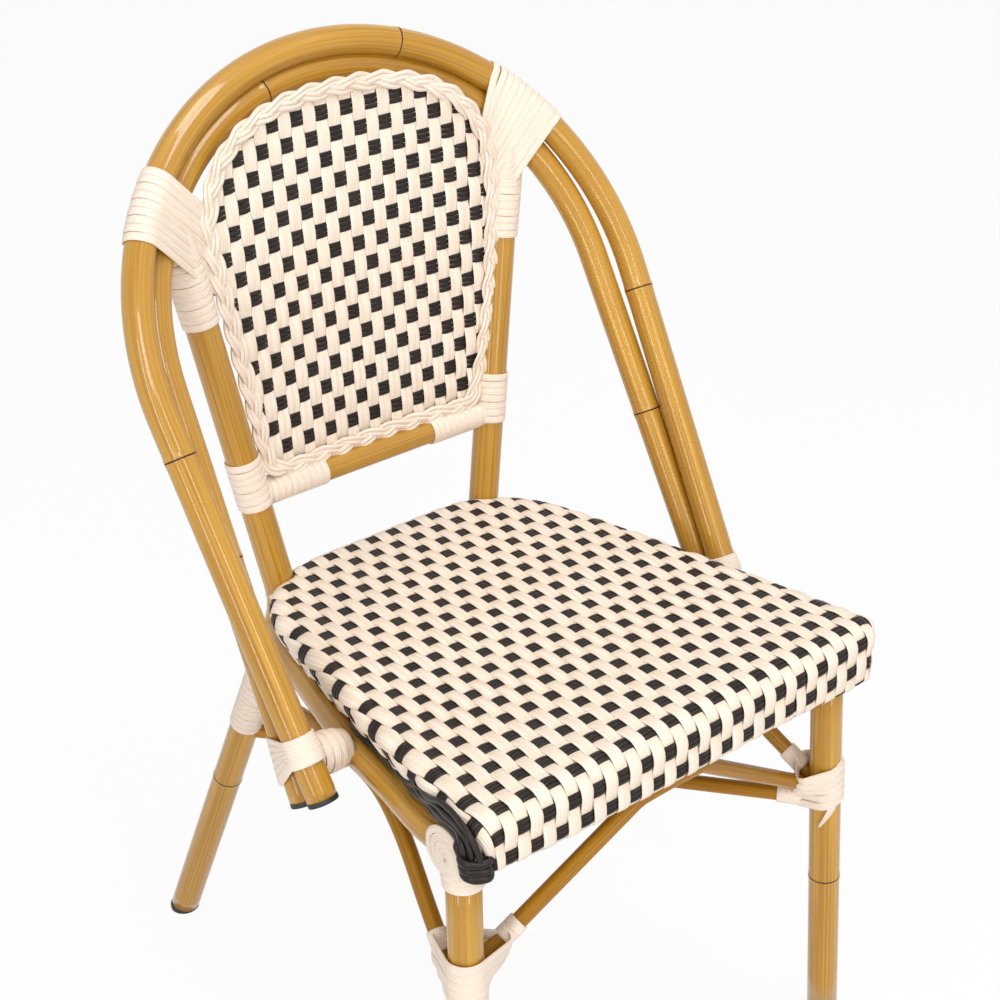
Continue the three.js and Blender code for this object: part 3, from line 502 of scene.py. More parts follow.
def hoop_point(hoop, degrees):
    angle = np.radians(degrees)
    rise = hoop["centre"] + hoop["radius"] * np.sin(angle)
    return on_hoop_plane(hoop, hoop["radius"] * np.cos(angle), rise)


def hoop_leg_side(hoop, rise):
    """How far out the leg of a hoop stands."""
    toe = math.radians(hoop["toe"])
    start = hoop["centre"] - hoop["radius"] * math.sin(toe)
    return hoop["radius"] * math.cos(toe) - (start - rise) * math.tan(toe)


def hoop_leg(hoop, rise):
    return on_hoop_plane(hoop, hoop_leg_side(hoop, rise), rise)


def hoop_line(hoop):
    """The hoop's axis from the end of its right leg over the top to the left one."""
    toe = hoop["toe"]
    arc = hoop_point(hoop, np.linspace(-toe, 180 + toe, 91))
    low = hoop_leg(hoop, hoop["end"])
    return np.vstack([low, arc, mirrored(low, -1)])


def level_point(low, high, height):
    """The point at a height on a straight line."""
    share = (height - low[2]) / (high[2] - low[2])
    return low + (high - low) * share


# Ends and bends of the right side's tubes, at their axes.
FRONT_FOOT, FRONT_HEAD = vec(211.5, 20.9, 0), vec(199.5, 30.0, RAIL_HEIGHT)
RAIL_CORNER = vec(194.3, 34.6, RAIL_HEIGHT)
REAR_FOOT, POST_BEND = vec(165.8, 560.5, 0), vec(112.5, 391.3, 415.0)
POST_HEAD = hoop_point(INNER, 38.3)
POST_BEND_REACH = 22

# Where the stub stands, as shares of the rail corner's half width and of the rail's run back, and
# how far it rises.
STUB_WIDTH, STUB_RUN, STUB_RISE = 0.912, 0.441, 6
# The depth of the rail's front run, and how far from the corner it starts.
RAIL_FRONT, RAIL_TURN = 17.0, 34
LUMBAR_DEPTH, LUMBAR_HEIGHT = 400, 526
# Heights at which the braces end on the legs, and their room under the rails.
SIDE_BRACE_FRONT, SIDE_BRACE_REAR, REAR_BRACE_END, DIAGONAL_FRONT = 250, 310, 308, 248
BRACE_GAP = 0.3
# The side of each diagonal's front end, and the height of its rear end.
DIAGONALS = {"upper_diagonal": (1, 258), "lower_diagonal": (-1, 232)}


def front_leg(height):
    return level_point(FRONT_FOOT, FRONT_HEAD, height)


def rear_leg(height):
    return level_point(REAR_FOOT, POST_BEND, height)


def post(height):
    return level_point(POST_BEND, POST_HEAD, height)


def bezier(points, count):
    """Points of a quadratic or cubic curve through control points."""
    t = np.linspace(0, 1, count)[:, None]
    controls = [vec(*p) for p in points]
    while len(controls) > 1:
        controls = [a * (1 - t) + b * t for a, b in zip(controls, controls[1:])]
    return controls[0]


def smooth_line(points, count=12):
    """A curve through all the points."""
    points = np.asarray(points, float)
    ends = np.vstack([2 * points[0] - points[1], points, 2 * points[-1] - points[-2]])
    made = []
    for a, b, c, d in zip(ends, ends[1:], ends[2:], ends[3:]):
        t = np.linspace(0, 1, count, endpoint=False)[:, None]
        made.append(b + 0.5 * t * (c - a + t * (2 * a - 5 * b + 4 * c - d + t * (3 * (b - c) + d - a))))
    return np.vstack([*made, points[-1:]])


def rail_point(width, run):
    """A point of the seat rail's right side, by shares of the corner's half width and of the run."""
    full_run = rear_leg(RAIL_HEIGHT)[1] - RAIL_CORNER[1]
    return vec(RAIL_CORNER[0] * width, RAIL_CORNER[1] + full_run * run, RAIL_HEIGHT)


def seat_rail_side():
    widths = (0.7, 0.751, 0.839, STUB_WIDTH, 0.957, 1.011)
    runs = (0.892, 0.785, 0.6, STUB_RUN, 0.282, 0.11)
    side = [rail_point(width, run) for width, run in zip(widths, runs)]
    return smooth_line([rear_leg(RAIL_HEIGHT), *side, RAIL_CORNER])


def seat_rail_line():
    """The seat rail's axis, from the right rear leg round the front to the left one."""
    front, beyond = vec(RAIL_CORNER[0], RAIL_FRONT, RAIL_HEIGHT), vec(RAIL_TURN, 0, 0)
    turn = bezier([RAIL_CORNER, front, front - beyond], 10)
    half = np.vstack([seat_rail_side()[:-1], turn])
    return np.vstack([half, mirrored(half, -1)[::-1]])


def stub_line():
    """The stub's axis, from the seat rail out and a little up into the outer hoop's leg."""
    seat = rail_point(STUB_WIDTH, STUB_RUN)
    reach = hoop_leg_side(OUTER, 0) - HOOP_R + 2
    return np.array([seat, vec(reach, seat[1], seat[2] + STUB_RISE)])


def lumbar_point(x):
    return vec(x, LUMBAR_DEPTH, LUMBAR_HEIGHT)


def side_brace_line():
    """The right side brace's axis, from the front leg up under the rail and down to the rear leg."""
    rear = rear_leg(SIDE_BRACE_REAR)
    run = rear[1] - RAIL_CORNER[1]
    rise = RAIL_HEIGHT - RAIL_R - BRACE_R - BRACE_GAP - SIDE_BRACE_FRONT
    widths = (1.055, 1.04, 0.978, 0.921, 0.9, 0.875, 0.823, 0.73)
    runs = (0, 0.03, 0.141, 0.253, 0.345, 0.48, 0.638, 0.86)
    rises = (0, 0.14, 0.42, 0.75, 0.965, 1, 0.93, 0.68)
    points = [vec(RAIL_CORNER[0] * w, RAIL_CORNER[1] + run * r, SIDE_BRACE_FRONT + rise * h)
              for w, r, h in zip(widths, runs, rises)]
    return smooth_line([*points, rear])


def arched(end, shoulder, peak):
    """A brace's axis: straight from each end to the shoulders, and an arch between them."""
    return np.vstack([end, bezier([shoulder, peak, mirrored(shoulder, -1)], 24), mirrored(end, -1)])


def front_brace_line():
    end, middle, peak_height = vec(190, 45, 262), vec(76, 24, 341), 378
    shoulder = middle + (middle - end) * 0.36
    slope = (middle[1] - end[1]) / (middle[0] - end[0])
    return arched(end, shoulder, vec(0, middle[1] - slope * middle[0], peak_height))


def rear_brace_line():
    end = rear_leg(REAR_BRACE_END)
    top = RAIL_HEIGHT - LUMBAR_R - BRACE_R - BRACE_GAP
    peak = vec(0, rear_leg(RAIL_HEIGHT)[1], top)
    shoulder = end + (peak - end) * 0.72
    return arched(end, shoulder, vec(0, peak[1], 2 * top - shoulder[2]))


def diagonal_line(side, rear_height):
    return np.array([mirrored(front_leg(DIAGONAL_FRONT), side), mirrored(rear_leg(rear_height), -side)])


# Coated tubes

def coated_tube(name, line, radius, step, hand="", **form):
    """A coated tube in place of the frame's solid of that name."""
    hand = hand and f"_{hand}"
    joined([tube(line, radius, step, **form)], f"{name}_tube{hand}", BAMBOO, [f"{name}{hand}"])


def thin_brace(name, line, step, hand=""):
    hand = hand and f"_{hand}"
    joined([tube(line, BRACE_R, step, sides=16)], f"{name}_tube{hand}", BAMBOO_SHADED_BRACE,
           [f"{name}{hand}"])


def build_hoops():
    for name, hoop, rings in (
        ("outer_hoop", OUTER, (298.0, 637.0, 1146.0)),
        ("inner_hoop", INNER, (190.0, 743.0, 1170.0)),
    ):
        coated_tube(name, hoop_line(hoop), HOOP_R, 7.0, rings=rings, up=(0, 1, 0.2))


# How far a leg's tube starts above the floor and ends below the rail's axis.
LEG_START, LEG_STOP = 6.0, 6


def build_front_leg(side, hand):
    leg = np.array([front_leg(LEG_START), front_leg(RAIL_HEIGHT - LEG_STOP)])
    coated_tube("front_leg", mirrored(leg, side), LEG_R, 40, hand, rings=(158.0,), up=(0, 1, 0))


def build_rear_post(side, hand):
    low = POST_BEND + unit(REAR_FOOT - POST_BEND) * POST_BEND_REACH
    high = POST_BEND + unit(POST_HEAD - POST_BEND) * POST_BEND_REACH
    line = np.vstack([rear_leg(LEG_START), bezier([low, POST_BEND, high], 12), POST_HEAD])
    coated_tube("rear_post", mirrored(line, side), LEG_R, 14, hand, rings=(205.0,), up=(0, 1, 0))


def build_tubes():
    build_hoops()
    for side, hand in SIDES:
        build_front_leg(side, hand)
        build_rear_post(side, hand)
        coated_tube("hoop_stub", mirrored(stub_line(), side), STUB_R, 10, hand)
        thin_brace("side_brace", mirrored(side_brace_line(), side), 6, hand)
    coated_tube("seat_rail", seat_rail_line(), RAIL_R, 6)
    lumbar_end = lumbar_point(post(LUMBAR_HEIGHT)[0])
    for name, end in (("rear_rail", rear_leg(RAIL_HEIGHT)), ("lumbar_rail", lumbar_end)):
        coated_tube(name, np.array([end, mirrored(end, -1)]), LUMBAR_R, 30)
    thin_brace("front_brace", front_brace_line(), 6)
    thin_brace("rear_brace", rear_brace_line(), 6)
    for name, ends in DIAGONALS.items():
        thin_brace(name, diagonal_line(*ends), 20)


# Caps and feet

def moulded_disc(name, centre, axis, radius, depth, round_edge, stands_for):
    """A moulded plug: a short cylinder, its edges rounded, with a shallow dish in its outer face."""
    rim, wall, dish = radius * 0.3, radius * 0.06, 0.5
    bpy.ops.object.select_all(action="DESELECT")
    bpy.ops.mesh.primitive_cylinder_add(vertices=32, radius=radius * MM, depth=depth * MM)
    plug = bpy.context.object
    bpy.ops.object.mode_set(mode="EDIT")
    bpy.ops.mesh.select_all(action="DESELECT")
    bpy.ops.object.mode_set(mode="OBJECT")
    for face in plug.data.polygons:
        face.select = face.normal.z < -0.9
    bpy.ops.object.mode_set(mode="EDIT")
    bpy.ops.mesh.select_mode(type="FACE")
    bpy.ops.mesh.inset(thickness=rim * MM, depth=0)
    bpy.ops.mesh.inset(thickness=wall * MM, depth=-dish * MM)
    bpy.ops.object.mode_set(mode="OBJECT")
    bevel = plug.modifiers.new("edge", "BEVEL")
    bevel.width = round_edge * MM
    bevel.segments = 3
    bevel.limit_method = "ANGLE"
    bpy.ops.object.modifier_apply(modifier=bevel.name)
    turn = Vector((0, 0, 1)).rotation_difference(Vector(axis)).to_matrix().to_4x4()
    plug.matrix_world = Matrix.Translation(Vector((np.asarray(centre) - DEPTH_ZERO) * MM)) @ turn
    bpy.ops.object.transform_apply(location=True, rotation=True, scale=True)
    joined([plug], name, RUBBER, [stands_for], angle=40)


PLUG_R, PLUG_DEPTH, PLUG_EDGE = HOOP_R + 0.1, 4.6, 1.6
FOOT_R, FOOT_DEPTH, FOOT_EDGE = LEG_R + 0.6, 6.1, 1.2


def build_plugs():
    """The plugs in the hoops' lower ends, and the feet of the four legs."""
    for name, hoop in (("outer_hoop", OUTER), ("inner_hoop", INNER)):
        for side, hand in SIDES:
            end = mirrored(hoop_leg(hoop, hoop["end"]), side)
            inward = unit(mirrored(hoop_leg(hoop, hoop["end"] + 50), side) - end)
            moulded_disc(f"{name}_plug_{hand}", end - inward * 2.0, inward, PLUG_R, PLUG_DEPTH, PLUG_EDGE,
                         f"{name}_cap_{hand}")
    for side, hand in SIDES:
        for name, line in (("front", front_leg), ("rear", rear_leg)):
            foot = mirrored(line(FOOT_DEPTH / 2), side)
            moulded_disc(f"{name}_foot_{hand}", foot, (0, 0, 1), FOOT_R, FOOT_DEPTH, FOOT_EDGE,
                         f"{name}_glide_{hand}")


# Seat weave

# The pad's edge: its rounding above and below, the height its side ends at, and how far it is tucked
# under. Over the sides the strands are drawn out, and the sides lean in.
PAD_ROUND, PAD_LOW_ROUND, PAD_LOW, PAD_TUCK = 13.0, 4.0, 403.0, 12.0
SIDE_DROP = SEAT_TOP - PAD_ROUND - PAD_LOW - PAD_LOW_ROUND
SIDE_DRAW, SIDE_LEAN = 0.38, 0.5
# How much further down the front reaches at places across it, and how its roll sags in its middle.
ROLL_PLACES, ROLL_DROPS = (-211, -160, 0, 93, 131, 171, 215), (0, 1, 1.5, 2.6, 5.5, 9.0, 10.0)
SAG, SAG_HALF = 6.5, 200
SAG_DEPTHS, SAG_SHARES = (-42, -21, 0, 20), (1, 0.93, 0.23, 0)

# Pitches of the weave, the number of the column at x = 0 and of the row at depth 0. Columns draw
# together and rows draw apart towards the back.
COLUMN_PITCH, ROW_PITCH = 11.83, 21.06
MIDDLE_COLUMN, FRONT_ROW = 4.5, 9
PAD_BACK, COLUMN_DRAW, ROW_DRAW, ROWS_BEHIND = 389, 0.022, 0.026, 18

# The strands: their thickness, how far their middles rest above the pad and how far they swing.
STRAND_THICKNESS = 1.5
CREAM_REST, CREAM_SWING, BLACK_REST, BLACK_SWING = 0.2, 1.25, -0.1, 0.75
SEAT_BLACK_WIDTH, SEAT_BLACK_PITCH = 3.75, 3.9


def pad_outline():
    """The pad's plan, as points round it."""
    corner, corner_radius, corner_end = vec(199, 2), 16.0, 7.7
    side_end = (163, 318)
    turns = np.radians(np.linspace(-90, corner_end, 24))
    right = np.vstack([
        corner + corner_radius * np.stack([np.cos(turns), np.sin(turns)], 1),
        bezier([(214.86, 4.14), (195, 150), side_end], 60)[1:],
        bezier([side_end, (153, 372), (116, 403), (65, 405)], 30)[1:],
    ])
    left = right[::-1] * vec(-1, 1)
    return np.vstack([right, left])


def inner_curve():
    """The outline drawn in by the edge's rounding, with the outward normals."""
    outline = pad_outline()
    dense = []
    loop = np.vstack([outline, outline[:1]])
    for a, b in zip(loop, loop[1:]):
        count = max(1, int(np.linalg.norm(b - a) / 2.0))
        dense.append(a + (b - a) * (np.arange(count) / count)[:, None])
    dense = np.vstack(dense)
    along = unit(np.roll(dense, -1, 0) - np.roll(dense, 1, 0))
    normal = np.stack([along[:, 1], -along[:, 0]], 1)
    return dense - normal * PAD_ROUND, normal


CURVE, CURVE_NORMAL = inner_curve()


def pad_reach(plan):
    """Signed distance beyond the inner curve, its nearest point, and the direction outwards."""
    best = np.full(len(plan), np.inf)
    nearest = np.zeros(len(plan), int)
    for start in range(0, len(CURVE), 64):
        block = CURVE[start:start + 64]
        far = np.linalg.norm(plan[:, None] - block[None], axis=2)
        pick = far.argmin(1)
        value = far[np.arange(len(plan)), pick]
        better = value < best
        best[better] = value[better]
        nearest[better] = pick[better] + start
    foot, normal = CURVE[nearest], CURVE_NORMAL[nearest]
    reach = np.sum((plan - foot) * normal, 1)
    away = plan - foot
    outward = np.where((reach > 0)[:, None] & (best > 1e-3)[:, None], unit(away + 1e-12), normal)
    return np.where(reach > 0, best, reach), foot, outward


def on_pad(x, y, lift=0.0):
    """Wraps a flat weave over the pad: the top, the rounded edge, the side and the tuck under it.
    Strands are drawn out over the sides, and the front rolls down lower towards its right end.
    Returns the places, and which points are still on the pad."""
    plan = np.stack([np.asarray(x, float), np.asarray(y, float)], 1)
    lift = np.broadcast_to(np.asarray(lift, float), (len(plan),))
    reach, foot, outward = pad_reach(plan)
    front = np.clip((-outward[:, 1] - 0.25) / 0.5, 0, 1)
    room = SIDE_DROP + front * np.interp(plan[:, 0], ROLL_PLACES, ROLL_DROPS)
    tuck_room = PAD_TUCK * (1 - front)
    bend, low_bend = PAD_ROUND * math.pi / 2, PAD_LOW_ROUND * math.pi / 2
    end = bend + room + low_bend + tuck_room
    t = np.clip(reach * (1 + SIDE_DRAW * outward[:, 0] ** 2), 0, end)
    turn = np.clip(t / PAD_ROUND, 0, math.pi / 2)
    drop = np.clip(t - bend, 0, room)
    under = np.clip((t - bend - room) / PAD_LOW_ROUND, 0, math.pi / 2)
    tuck = np.clip(t - bend - room - low_bend, 0, None)
    lean = SIDE_LEAN * outward[:, 0] ** 2
    out = PAD_ROUND * np.sin(turn) - lean * drop - PAD_LOW_ROUND * (1 - np.cos(under)) - tuck
    sag = SAG * np.clip(1 - (plan[:, 0] / SAG_HALF) ** 2, 0, 1)
    sag = sag * np.interp(plan[:, 1], SAG_DEPTHS, SAG_SHARES)
    height = SEAT_TOP - sag - PAD_ROUND * (1 - np.cos(turn)) - drop - PAD_LOW_ROUND * np.sin(under)
    facing_out = np.sin(turn) * np.cos(under)
    facing_up = np.cos(turn) - np.sin(under) - lean * np.clip(drop / 4, 0, 1)
    base = np.where((reach <= 0)[:, None], plan, foot + outward * out[:, None])
    normal = unit(np.column_stack([outward * facing_out[:, None], facing_up]))
    place = np.column_stack([base, height]) + normal * lift[:, None]
    return place, t < end - 0.5


# How far the columns stand apart at depths, as shares of their pitch, before they draw together.
FAN_DEPTHS = (-45, -23, 0, 21, 42, 63, 106, 127, 214, 257, 301, 345)
FAN_WIDTHS = (1.032, 1.032, 1.026, 1.024, 1.008, 1.004, 0.997, 0.985, 0.984, 0.992, 0.996, 1.0)


def fan(y):
    """How far the columns stand apart at a depth, as a share of their pitch."""
    return np.interp(y, FAN_DEPTHS, FAN_WIDTHS) * (1 - COLUMN_DRAW * np.clip(y, 0, PAD_BACK) / PAD_BACK)


def column_x(i, y):
    return (i - MIDDLE_COLUMN) * COLUMN_PITCH * fan(y)


def row_y(j):
    behind = FRONT_ROW - np.asarray(j, float)
    return behind * ROW_PITCH * (1 + ROW_DRAW * np.clip(behind, 0, None) / ROWS_BEHIND)


def row_of(y):
    """The row number at a depth, the other way round from row_y."""
    rows = np.linspace(-14, 14, 561)
    depths = row_y(rows)
    return np.interp(-np.asarray(y, float), -depths, rows)


def clear_of_posts(place, room):
    """Moves points out of the rear posts, which stand in notches of the weave."""
    for side, _ in SIDES:
        low, high = mirrored(rear_leg(300), side), mirrored(POST_BEND, side)
        top = mirrored(post(470), side)
        for a, b in ((low, high), (high, top)):
            along = unit(b - a)
            share = (place - a) @ along
            away = place - a - share[:, None] * along
            far = np.linalg.norm(away, axis=1)
            hit = (far < room) & (share > -2) & (share < np.linalg.norm(b - a) + 2)
            place[hit] += away[hit] / far[hit][:, None] * (room - far[hit])[:, None]
    return place


def longest_run(inside):
    """First and last place of the longest run of true values."""
    best, start = (0, 0), None
    for k, flag in enumerate([*inside, False]):
        if flag and start is None:
            start = k
        if not flag and start is not None:
            if k - start > best[1] - best[0]:
                best = (start, k)
            start = None
    return best


def draped(x, y, across, lift, section, mark=None):
    """A strand wrapped over the pad, every point of its section set on the pad's own curve."""
    low, high = longest_run(on_pad(x, y)[1])
    if high - low < 4:
        return None
    x, y, lift = x[low:high], y[low:high], lift[low:high]
    columns = []
    for u, v in section:
        place = on_pad(x + across[0] * u, y + across[1] * u, lift + v)[0]
        columns.append(clear_of_posts(place, LEG_R + 1.2))
    rings = np.stack(columns, 1)
    # The mark, how deep a cream strand dives, is painted as shade by its finish.
    mark = None if mark is None else mark[low:high]
    return rolled(rings, rings.mean(1), section, mark)


def cream_section(pitch):
    """A cream strand just fills the pitch of its columns."""
    return flat_section(pitch * 1.015, STRAND_THICKNESS, 12, 3.2)


def black_section(width):
    return flat_section(width, STRAND_THICKNESS, 8, 2.2)


def cream_lift(phase):
    """A cream strand swings up and down by turns, one row up and the next one down."""
    return CREAM_REST - CREAM_SWING * np.cos(math.pi * phase)


def black_lift(phase):
    return BLACK_REST + BLACK_SWING * np.cos(math.pi * phase)


def build_seat_cream():
    """The cream strands, from front to back."""
    y = np.arange(-75, 465, 3.0)
    section = cream_section(COLUMN_PITCH)
    strands = []
    for i in range(-14, 24):
        phase = row_of(y) + i
        # How deep each point dives, kept as the strand's mark; the cream finish paints it as shade.
        dive_shade = 0.5 + 0.5 * np.cos(math.pi * phase)
        strands.append(draped(column_x(i, y), y, (1, 0), cream_lift(phase), section, dive_shade))
    joined([s for s in strands if s], "seat_cream_strands", CREAM_WEAVE, ["seat_weave"])


def build_seat_black():
    """The black strands, from side to side, three in each row."""
    x = np.arange(-260, 261, COLUMN_PITCH / 4)
    section = black_section(SEAT_BLACK_WIDTH)
    strands = []
    for j in range(-11, 14):
        for offset in (-SEAT_BLACK_PITCH, 0.0, SEAT_BLACK_PITCH):
            depth = np.full(len(x), float(row_y(j)) + offset)
            column = x / COLUMN_PITCH / fan(depth) + MIDDLE_COLUMN
            strands.append(draped(x, depth, (0, 1), black_lift(column + j), section))
    joined([s for s in strands if s], "seat_black_strands", BLACK, ["seat_weave"])


# Back panel

PANEL_LEAN, PANEL_PITCH, PANEL_ROW = math.radians(2.88), 12.3, 19.67
# The height of the panel's row 0, the depth of its face there at the sides, how far its middle lies
# behind them, and its half width. The columns draw together downwards, and the panel ends at its foot.
PANEL_HEIGHT, PANEL_DEPTH, PANEL_HOLLOW, PANEL_HALF = 776.8, 407.3, 9.57, 142.4
PANEL_DRAW, PANEL_FOOT = 0.023, 541.6
PANEL_BLACK_WIDTH, PANEL_BLACK_PITCH = 4.25, 4.35


def panel_face(x, z):
    """The depth of the panel's face."""
    hollow = PANEL_HOLLOW * (1 - (x / PANEL_HALF) ** 2)
    return PANEL_DEPTH + (z - PANEL_HEIGHT) * math.tan(PANEL_LEAN) + hollow


def panel_row_height(row):
    return PANEL_HEIGHT - PANEL_ROW * row * math.cos(PANEL_LEAN)


def panel_fan(row):
    """How far the panel's columns stand apart at a row, as a share of their pitch."""
    return 1 - PANEL_DRAW * (row - 4) / 8


def panel_half(top, side, corner):
    """Half of the panel's outline, from the middle of its top to the middle of its foot."""
    foot = [corner[-1], (0, corner[-1][1])]
    return np.vstack([bezier(top, 40), bezier(side, 30)[1:], bezier(corner, 12)[1:], bezier(foot, 14)[1:]])


def both_halves(right, left):
    """A closed outline from two halves, of which the left one is given as if it were a right one."""
    return np.vstack([right, left[-2:0:-1] * vec(-1, 1)])


def panel_outline():
    """The panel's outline, clockwise from its top; its right side is a little fuller than its left."""
    right = panel_half([(0, 855), (92, 856), (146, 824), (146, 752)],
                       [(146, 752), (143, 650), (121, 572)],
                       [(121, 572), (116, PANEL_FOOT), (92, PANEL_FOOT)])
    left = panel_half([(0, 855), (98, 857), (146.5, 824), (144, 752)],
                      [(144, 752), (115.2, 567)],
                      [(115.2, 567), (115.2, PANEL_FOOT), (92, PANEL_FOOT)])
    return both_halves(right, left)


def inside_panel(x, z):
    """Which points lie inside the panel's outline."""
    outline = panel_outline()
    loop = np.vstack([outline, outline[:1]])
    a, b = loop[:-1], loop[1:]
    along = b - a
    crossing = ((a[:, 1] > z[:, None]) != (b[:, 1] > z[:, None]))
    slope = a[:, 0] + (z[:, None] - a[:, 1]) / (along[:, 1] + 1e-12) * along[:, 0]
    return (np.sum(crossing & (x[:, None] < slope), 1) % 2) == 1


def panel_strand(x, z, lift, section):
    """A strand on the panel's face, cut off at its outline."""
    low, high = longest_run(inside_panel(x, z))
    if high - low < 4:
        return None
    path = np.stack([x, panel_face(x, z) - lift, z], 1)
    return laid(path[low:high], (0, -1, 0), section)


def build_back_cream():
    """The cream strands of the back, which run down."""
    row = np.arange(-5, 13.6, 0.14)
    z = panel_row_height(row)
    section = cream_section(PANEL_PITCH)
    strands = []
    for i in range(-13, 15):
        x = (i - 0.5) * PANEL_PITCH * panel_fan(row)
        strands.append(panel_strand(x, z, cream_lift(row + i), section))
    joined([s for s in strands if s], "back_cream_strands", CREAM_WEAVE, ["back_weave"])


def build_back_black():
    """The black strands of the back, which run across it, three in each row."""
    x = np.arange(-150, 151, PANEL_PITCH / 4)
    section = black_section(PANEL_BLACK_WIDTH)
    strands = []
    for row in range(-4, 13):
        column = x / PANEL_PITCH / panel_fan(row) + 0.5
        for offset in (-PANEL_BLACK_PITCH, 0.0, PANEL_BLACK_PITCH):
            z = np.full(len(x), panel_row_height(row) + offset)
            strands.append(panel_strand(x, z, black_lift(column + row), section))
    joined([s for s in strands if s], "back_black_strands", BLACK, ["back_weave"])


def round_panel(outline, step):
    """Even points round an outline of the panel, and the directions outwards in its plane."""
    flat = np.column_stack([outline[:, 0], np.zeros(len(outline)), outline[:, 1]])
    centre = resampled(flat, step, closed=True)
    along = tangents(centre, True)
    return centre, np.column_stack([-along[:, 2], np.zeros(len(along)), along[:, 0]])


def plait(centre, sideways, face, period, swing, rise, width, thickness):
    """Three strands, each of two cords, that cross over one another round a closed line."""
    run = distances(centre)
    turns = max(1, round(run[-1] / period))
    section = flat_section(width / 2 * 1.06, thickness, 8, 2.2)
    made = []
    for k in range(3):
        phase = run / run[-1] * turns * 2 * math.pi + k * 2 * math.pi / 3
        sway = np.arcsin(0.92 * np.sin(phase)) / math.asin(0.92)
        path = centre + sideways * (swing * sway)[:, None] + face * (rise * np.sin(2 * phase))[:, None]
        path[-1] = path[0]
        across = unit(np.cross(tangents(path, True), face))
        for cord in (-0.5, 0.5):
            made.append(laid(path + across * (cord * width / 2), face, section, closed=True))
    return made


def build_braid():
    """The plait round the panel's edge, which stands a little further forward at its foot."""
    centre, outward = round_panel(panel_outline(), 2.6)
    forward = 3.4 + 2.5 * np.clip((560 - centre[:, 2]) / 20, 0, 1)
    centre[:, 1] = panel_face(centre[:, 0], centre[:, 2]) - forward
    face = np.broadcast_to(vec(0, -1, 0), centre.shape)
    strands = plait(centre, outward, face, period=76.0, swing=4.7, rise=1.7, width=7.8, thickness=2.6)
    joined(strands, "back_plait", CREAM, ["back_braid"])


def build_frame_binding():
    """Strand wound round the frame that carries the panel, which shows from behind."""
    inset, behind, radius, pitch, steps = 8.0, 9.2, 7.1, 6.5, 18
    half = panel_half([(0, 856), (92, 856), (PANEL_HALF, 822), (PANEL_HALF, 752)],
                      [(PANEL_HALF, 752), (115.2, 567)],
                      [(115.2, 567), (115.2, PANEL_FOOT), (92, PANEL_FOOT)])
    centre, outward = round_panel(both_halves(half, half), 4.0)
    centre = centre - outward * inset
    centre[:, 1] = panel_face(centre[:, 0], centre[:, 2]) + behind
    run = np.linspace(0, 1, len(centre))
    turns = round(distances(centre)[-1] / pitch)
    share = np.linspace(0, 1, turns * steps + 1)
    angle = (share * turns * 2 * math.pi)[:, None]
    ups = unit(between(share, run, outward) * np.cos(angle) + vec(0, 1, 0) * np.sin(angle))
    path = between(share, run, centre) + ups * radius
    joined([laid(path, ups, flat_section(6.7, 1.4, 8, 3.2), closed=True)],
           "panel_frame_binding", CREAM)


# Black edging of the seat

# Depths and heights that the cords pass on each side, from the back to the front. On the left they
# then turn down at the corner, and loops at three heights bind them there.
EDGING_MARKS = {
    "left": [(205, 407), (160, 408), (120, 413), (80, 421), (55, 428), (36, 432), (16, 433)],
    "right": [(205, 406), (160, 406), (120, 407), (80, 408), (40, 409), (12, 410)],
}
EDGING_TURN = [vec(-216.5, 5, 431), vec(-217.5, -1, 424), vec(-216.5, -2, 415), vec(-214.0, -1, 406)]
LOOP_HEIGHTS = (416.0, 409.0, 402.5)
# The height below which the side of the pad leans in.
LEAN_START = 430


def pad_side(depth, height):
    """A point of the pad's left side at a depth and a height."""
    outline = pad_outline()
    right = outline[:len(outline) // 2]
    right = right[np.argsort(right[:, 1])]
    side = np.interp(depth, right[:, 1], right[:, 0])
    return vec(-(side - SIDE_LEAN * max(0.0, LEAN_START - height)), depth, height)


def edging_cords(line, spread_out, flip):
    """Four black cords side by side, which wander a little and may spread apart towards the front."""
    centre = resampled(smooth_line(line, 8), 2.4)
    share = np.linspace(0, 1, len(centre))
    apart = 1.2 + spread_out * np.clip((share - 0.35) / 0.45, 0, 1)
    along, outward = tangents(centre, False), vec(-1, -0.25, 0)
    face = unit(outward - along * (along @ outward)[:, None])
    across = unit(np.cross(along, face))
    section = flat_section(5.6, 4.4, 10, 2.1)
    made = []
    for k, offset in enumerate((-1.5, -0.5, 0.5, 1.5)):
        wander = 0.8 * np.sin(share * 40 + k * 2.1) * np.clip((0.85 - share) * 6, 0, 1)
        stand = 2.2 - 0.5 * abs(offset) + 0.6 * np.sin(share * 31 + k * 1.9)
        cord = centre + across * (offset * apart * 1.25 + wander)[:, None]
        cord = cord + face * stand[:, None]
        made.append(laid(cord * flip, face * flip, section, scale=0.5 + 0.5 * apart / 5.0))
    return made


def corner_loops():
    """Black loops that bind the cords at the left front corner."""
    section = flat_section(7.0, 5.4, 12, 2.1)
    made = []
    for k, height in enumerate(LOOP_HEIGHTS):
        bulge = 7.6 - 1.0 * k
        points = [vec(-207, 18, height + 3), vec(-214, 10, height + 2.5), vec(-216 - bulge, 1, height),
                  vec(-215 - bulge * 0.8, -8, height - 1), vec(-210, -13.5, height - 1),
                  vec(-205, -10, height)]
        loop = resampled(smooth_line(points, 8), 2.0)
        out = loop - vec(-195, 8, height)
        out[:, 2] = 0
        made.append(laid(loop, unit(out), section))
    return made


def build_edging():
    """Black cords laid along the foot of each side of the pad."""
    for side, hand in SIDES:
        line = [pad_side(depth, height) for depth, height in EDGING_MARKS[hand]]
        flip = vec(-side, 1, 1)
        if hand == "left":
            made = edging_cords(line + EDGING_TURN, 3.8, flip) + corner_loops()
        else:
            made = edging_cords(line, 0.0, flip)
        joined(made, f"seat_edging_{hand}", BLACK, ["seat_weave"])


